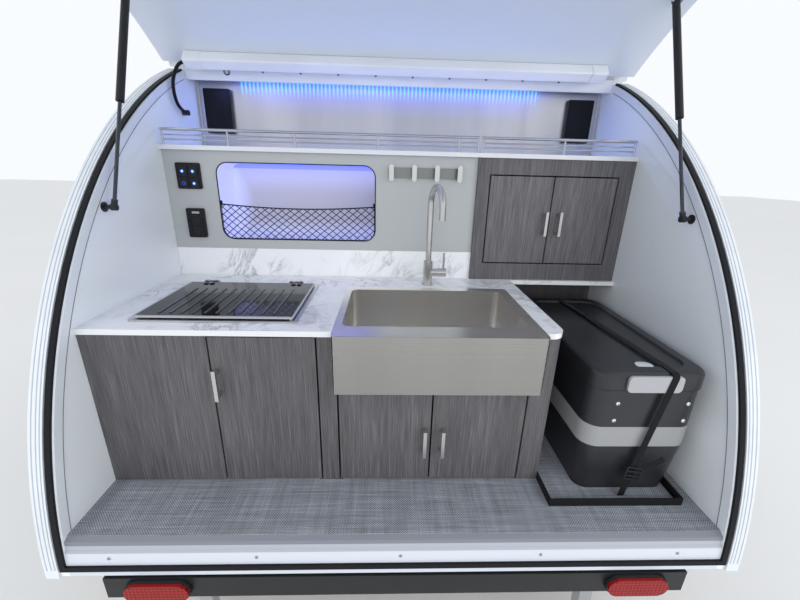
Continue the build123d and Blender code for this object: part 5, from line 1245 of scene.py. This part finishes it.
lamp_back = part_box("tail_lamps")[1].y
bezel = facing(ring("bezel", 0.171, 0.064, 0.0319, 0.007, 0.010, 0.002), (0, lamp_back, 0.4497))
fitted(pair("lamp_bezels", bezel, 0.640), "black_plastic")


# Mattress

def puff(piece, voxel, pressure, cap, floor):
    """Fill the cover with air by cloth simulation; no point moves further than the cap."""
    modify(piece, "REMESH", mode="VOXEL", voxel_size=voxel)
    before = [point.co.copy() for point in piece.data.vertices]
    pins = piece.vertex_groups.new(name="floor")
    low = [point.index for point in piece.data.vertices if point.co.z < floor + 0.004]
    pins.add(low, 1.0, "REPLACE")
    air = piece.modifiers.new("air", "CLOTH")
    air.settings.use_pressure = True
    air.settings.uniform_pressure_force = pressure
    air.settings.effector_weights.gravity = 0
    air.settings.vertex_group_mass = "floor"
    for moment in range(1, 16):
        bpy.context.scene.frame_set(moment)
    bpy.ops.object.modifier_apply(modifier="air")
    bpy.context.scene.frame_set(1)
    piece.vertex_groups.clear()
    for point, start in zip(piece.data.vertices, before):
        move = point.co - start
        if move.length > cap:
            point.co = start + cap * move.normalized()


def mattress():
    """Quilted mattress: a puffed cover with sewn channels, and piping round its edges."""
    low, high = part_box("mattress")
    low, high = low + Vector((0.012, 0.012, 0.0005)), high - Vector((0.012, 0.012, 0.012))
    cover = block("mattress_cover", low, high, 0.028, 4)
    puff(cover, 0.020, 3.0, 0.010, low.z)
    modify(cover, "SUBSURF", levels=1, render_levels=1)
    channel = 0.23
    for point in cover.data.vertices:
        if point.co.z > (low.z + high.z) / 2:
            deep = 0.0
            for value, start in ((point.co.x, 0.0), (point.co.y, low.y)):
                gap = (value - start + channel / 2) % channel - channel / 2
                deep = max(deep, math.exp(-(gap / 0.011) ** 2))
            inwards = min(high.x - abs(point.co.x), point.co.y - low.y, high.y - point.co.y)
            point.co.z -= 0.009 * deep * min(1.0, max(0.0, inwards / 0.05))
    bpy.ops.object.shade_smooth()
    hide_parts("mattress")
    fitted(cover, "mattress_cloth")
    corner = 0.030
    bends = (((high.x, low.y), (1, 0), (0, 1)), ((high.x, high.y), (0, 1), (-1, 0)),
             ((low.x, high.y), (-1, 0), (0, -1)), ((low.x, low.y), (0, -1), (1, 0)))
    piping = []
    for up in (low.z + 0.020, high.z - 0.014):
        route = []
        for (x, y), come, go in bends:
            route += [(x - reach * come[0], y - reach * come[1], up) for reach in (3 * corner, corner)]
            route += [(x + reach * go[0], y + reach * go[1], up) for reach in (corner, 3 * corner)]
        piping.append(tube("piping", route, 0.004, 8, cyclic=True))
    fitted(joined("mattress_piping", piping), "mattress_cloth")


mattress()


# Floor, world and lights

def stage_floor():
    """Plain pale ground."""
    ground = primitive("ground", bpy.ops.mesh.primitive_plane_add, size=60, location=(0, 0, 0))
    look = Look("ground", (0.72, 0.72, 0.72), 0.9)
    look.wear(Base_Color=look.mix(look.noise(0.6), (0.70, 0.70, 0.70), (0.74, 0.74, 0.74)))
    give(ground, look)


def light_world():
    """White surroundings for the eye, for gloss and through glass; a plain level on the object."""
    world = bpy.data.worlds.new("studio")
    bpy.context.scene.world = world
    world.use_nodes = True
    sky = Graph(world.node_tree)
    camera, glass, gloss = (sky.node("LightPath", {}, f"Is {kind} Ray")
                            for kind in ("Camera", "Transmission", "Glossy"))
    background = world.node_tree.nodes["Background"]
    background.inputs["Color"].default_value = (0.95, 0.975, 1.0, 1)
    level = sky.node("MapRange", {0: camera | glass | gloss, 3: world_level, 4: 1.0})
    sky.put(background.inputs["Strength"], level)


def lamp(name, at, aim, size, power, colour=(1, 1, 1)):
    """Square soft lamp aimed at a point."""
    data = bpy.data.lights.new(name, "AREA")
    data.shape = "RECTANGLE"
    data.size, data.size_y = size
    data.energy = power
    data.color = colour
    made = added(name, data)
    made.visible_glossy = False
    made.location = at
    made.rotation_euler = (Vector(aim) - Vector(at)).to_track_quat("-Z", "Y").to_euler()


world_level = 1.07
stage_floor()
light_world()
lamp("sky_behind", (-0.4, -7.0, 2.2), (0, -0.9, 1.2), (8.0, 3.4), 116)
lamp("sky_right_behind", (4.4, -5.0, 2.6), (-0.8, -1.1, 1.4), (3.5, 3.0), 60)
lamp("sky_above", (0, 0.5, 8.0), (0, 0.3, 0), (9.0, 9.0), 30)
lamp("strip_light", (-0.045, panel_y - 0.030, 1.826), (-0.045, panel_y - 0.130, 1.50), (1.44, 0.02), 2.9,
     (0.22, 0.32, 1.0))
bpy.context.scene.view_settings.view_transform = "Standard"
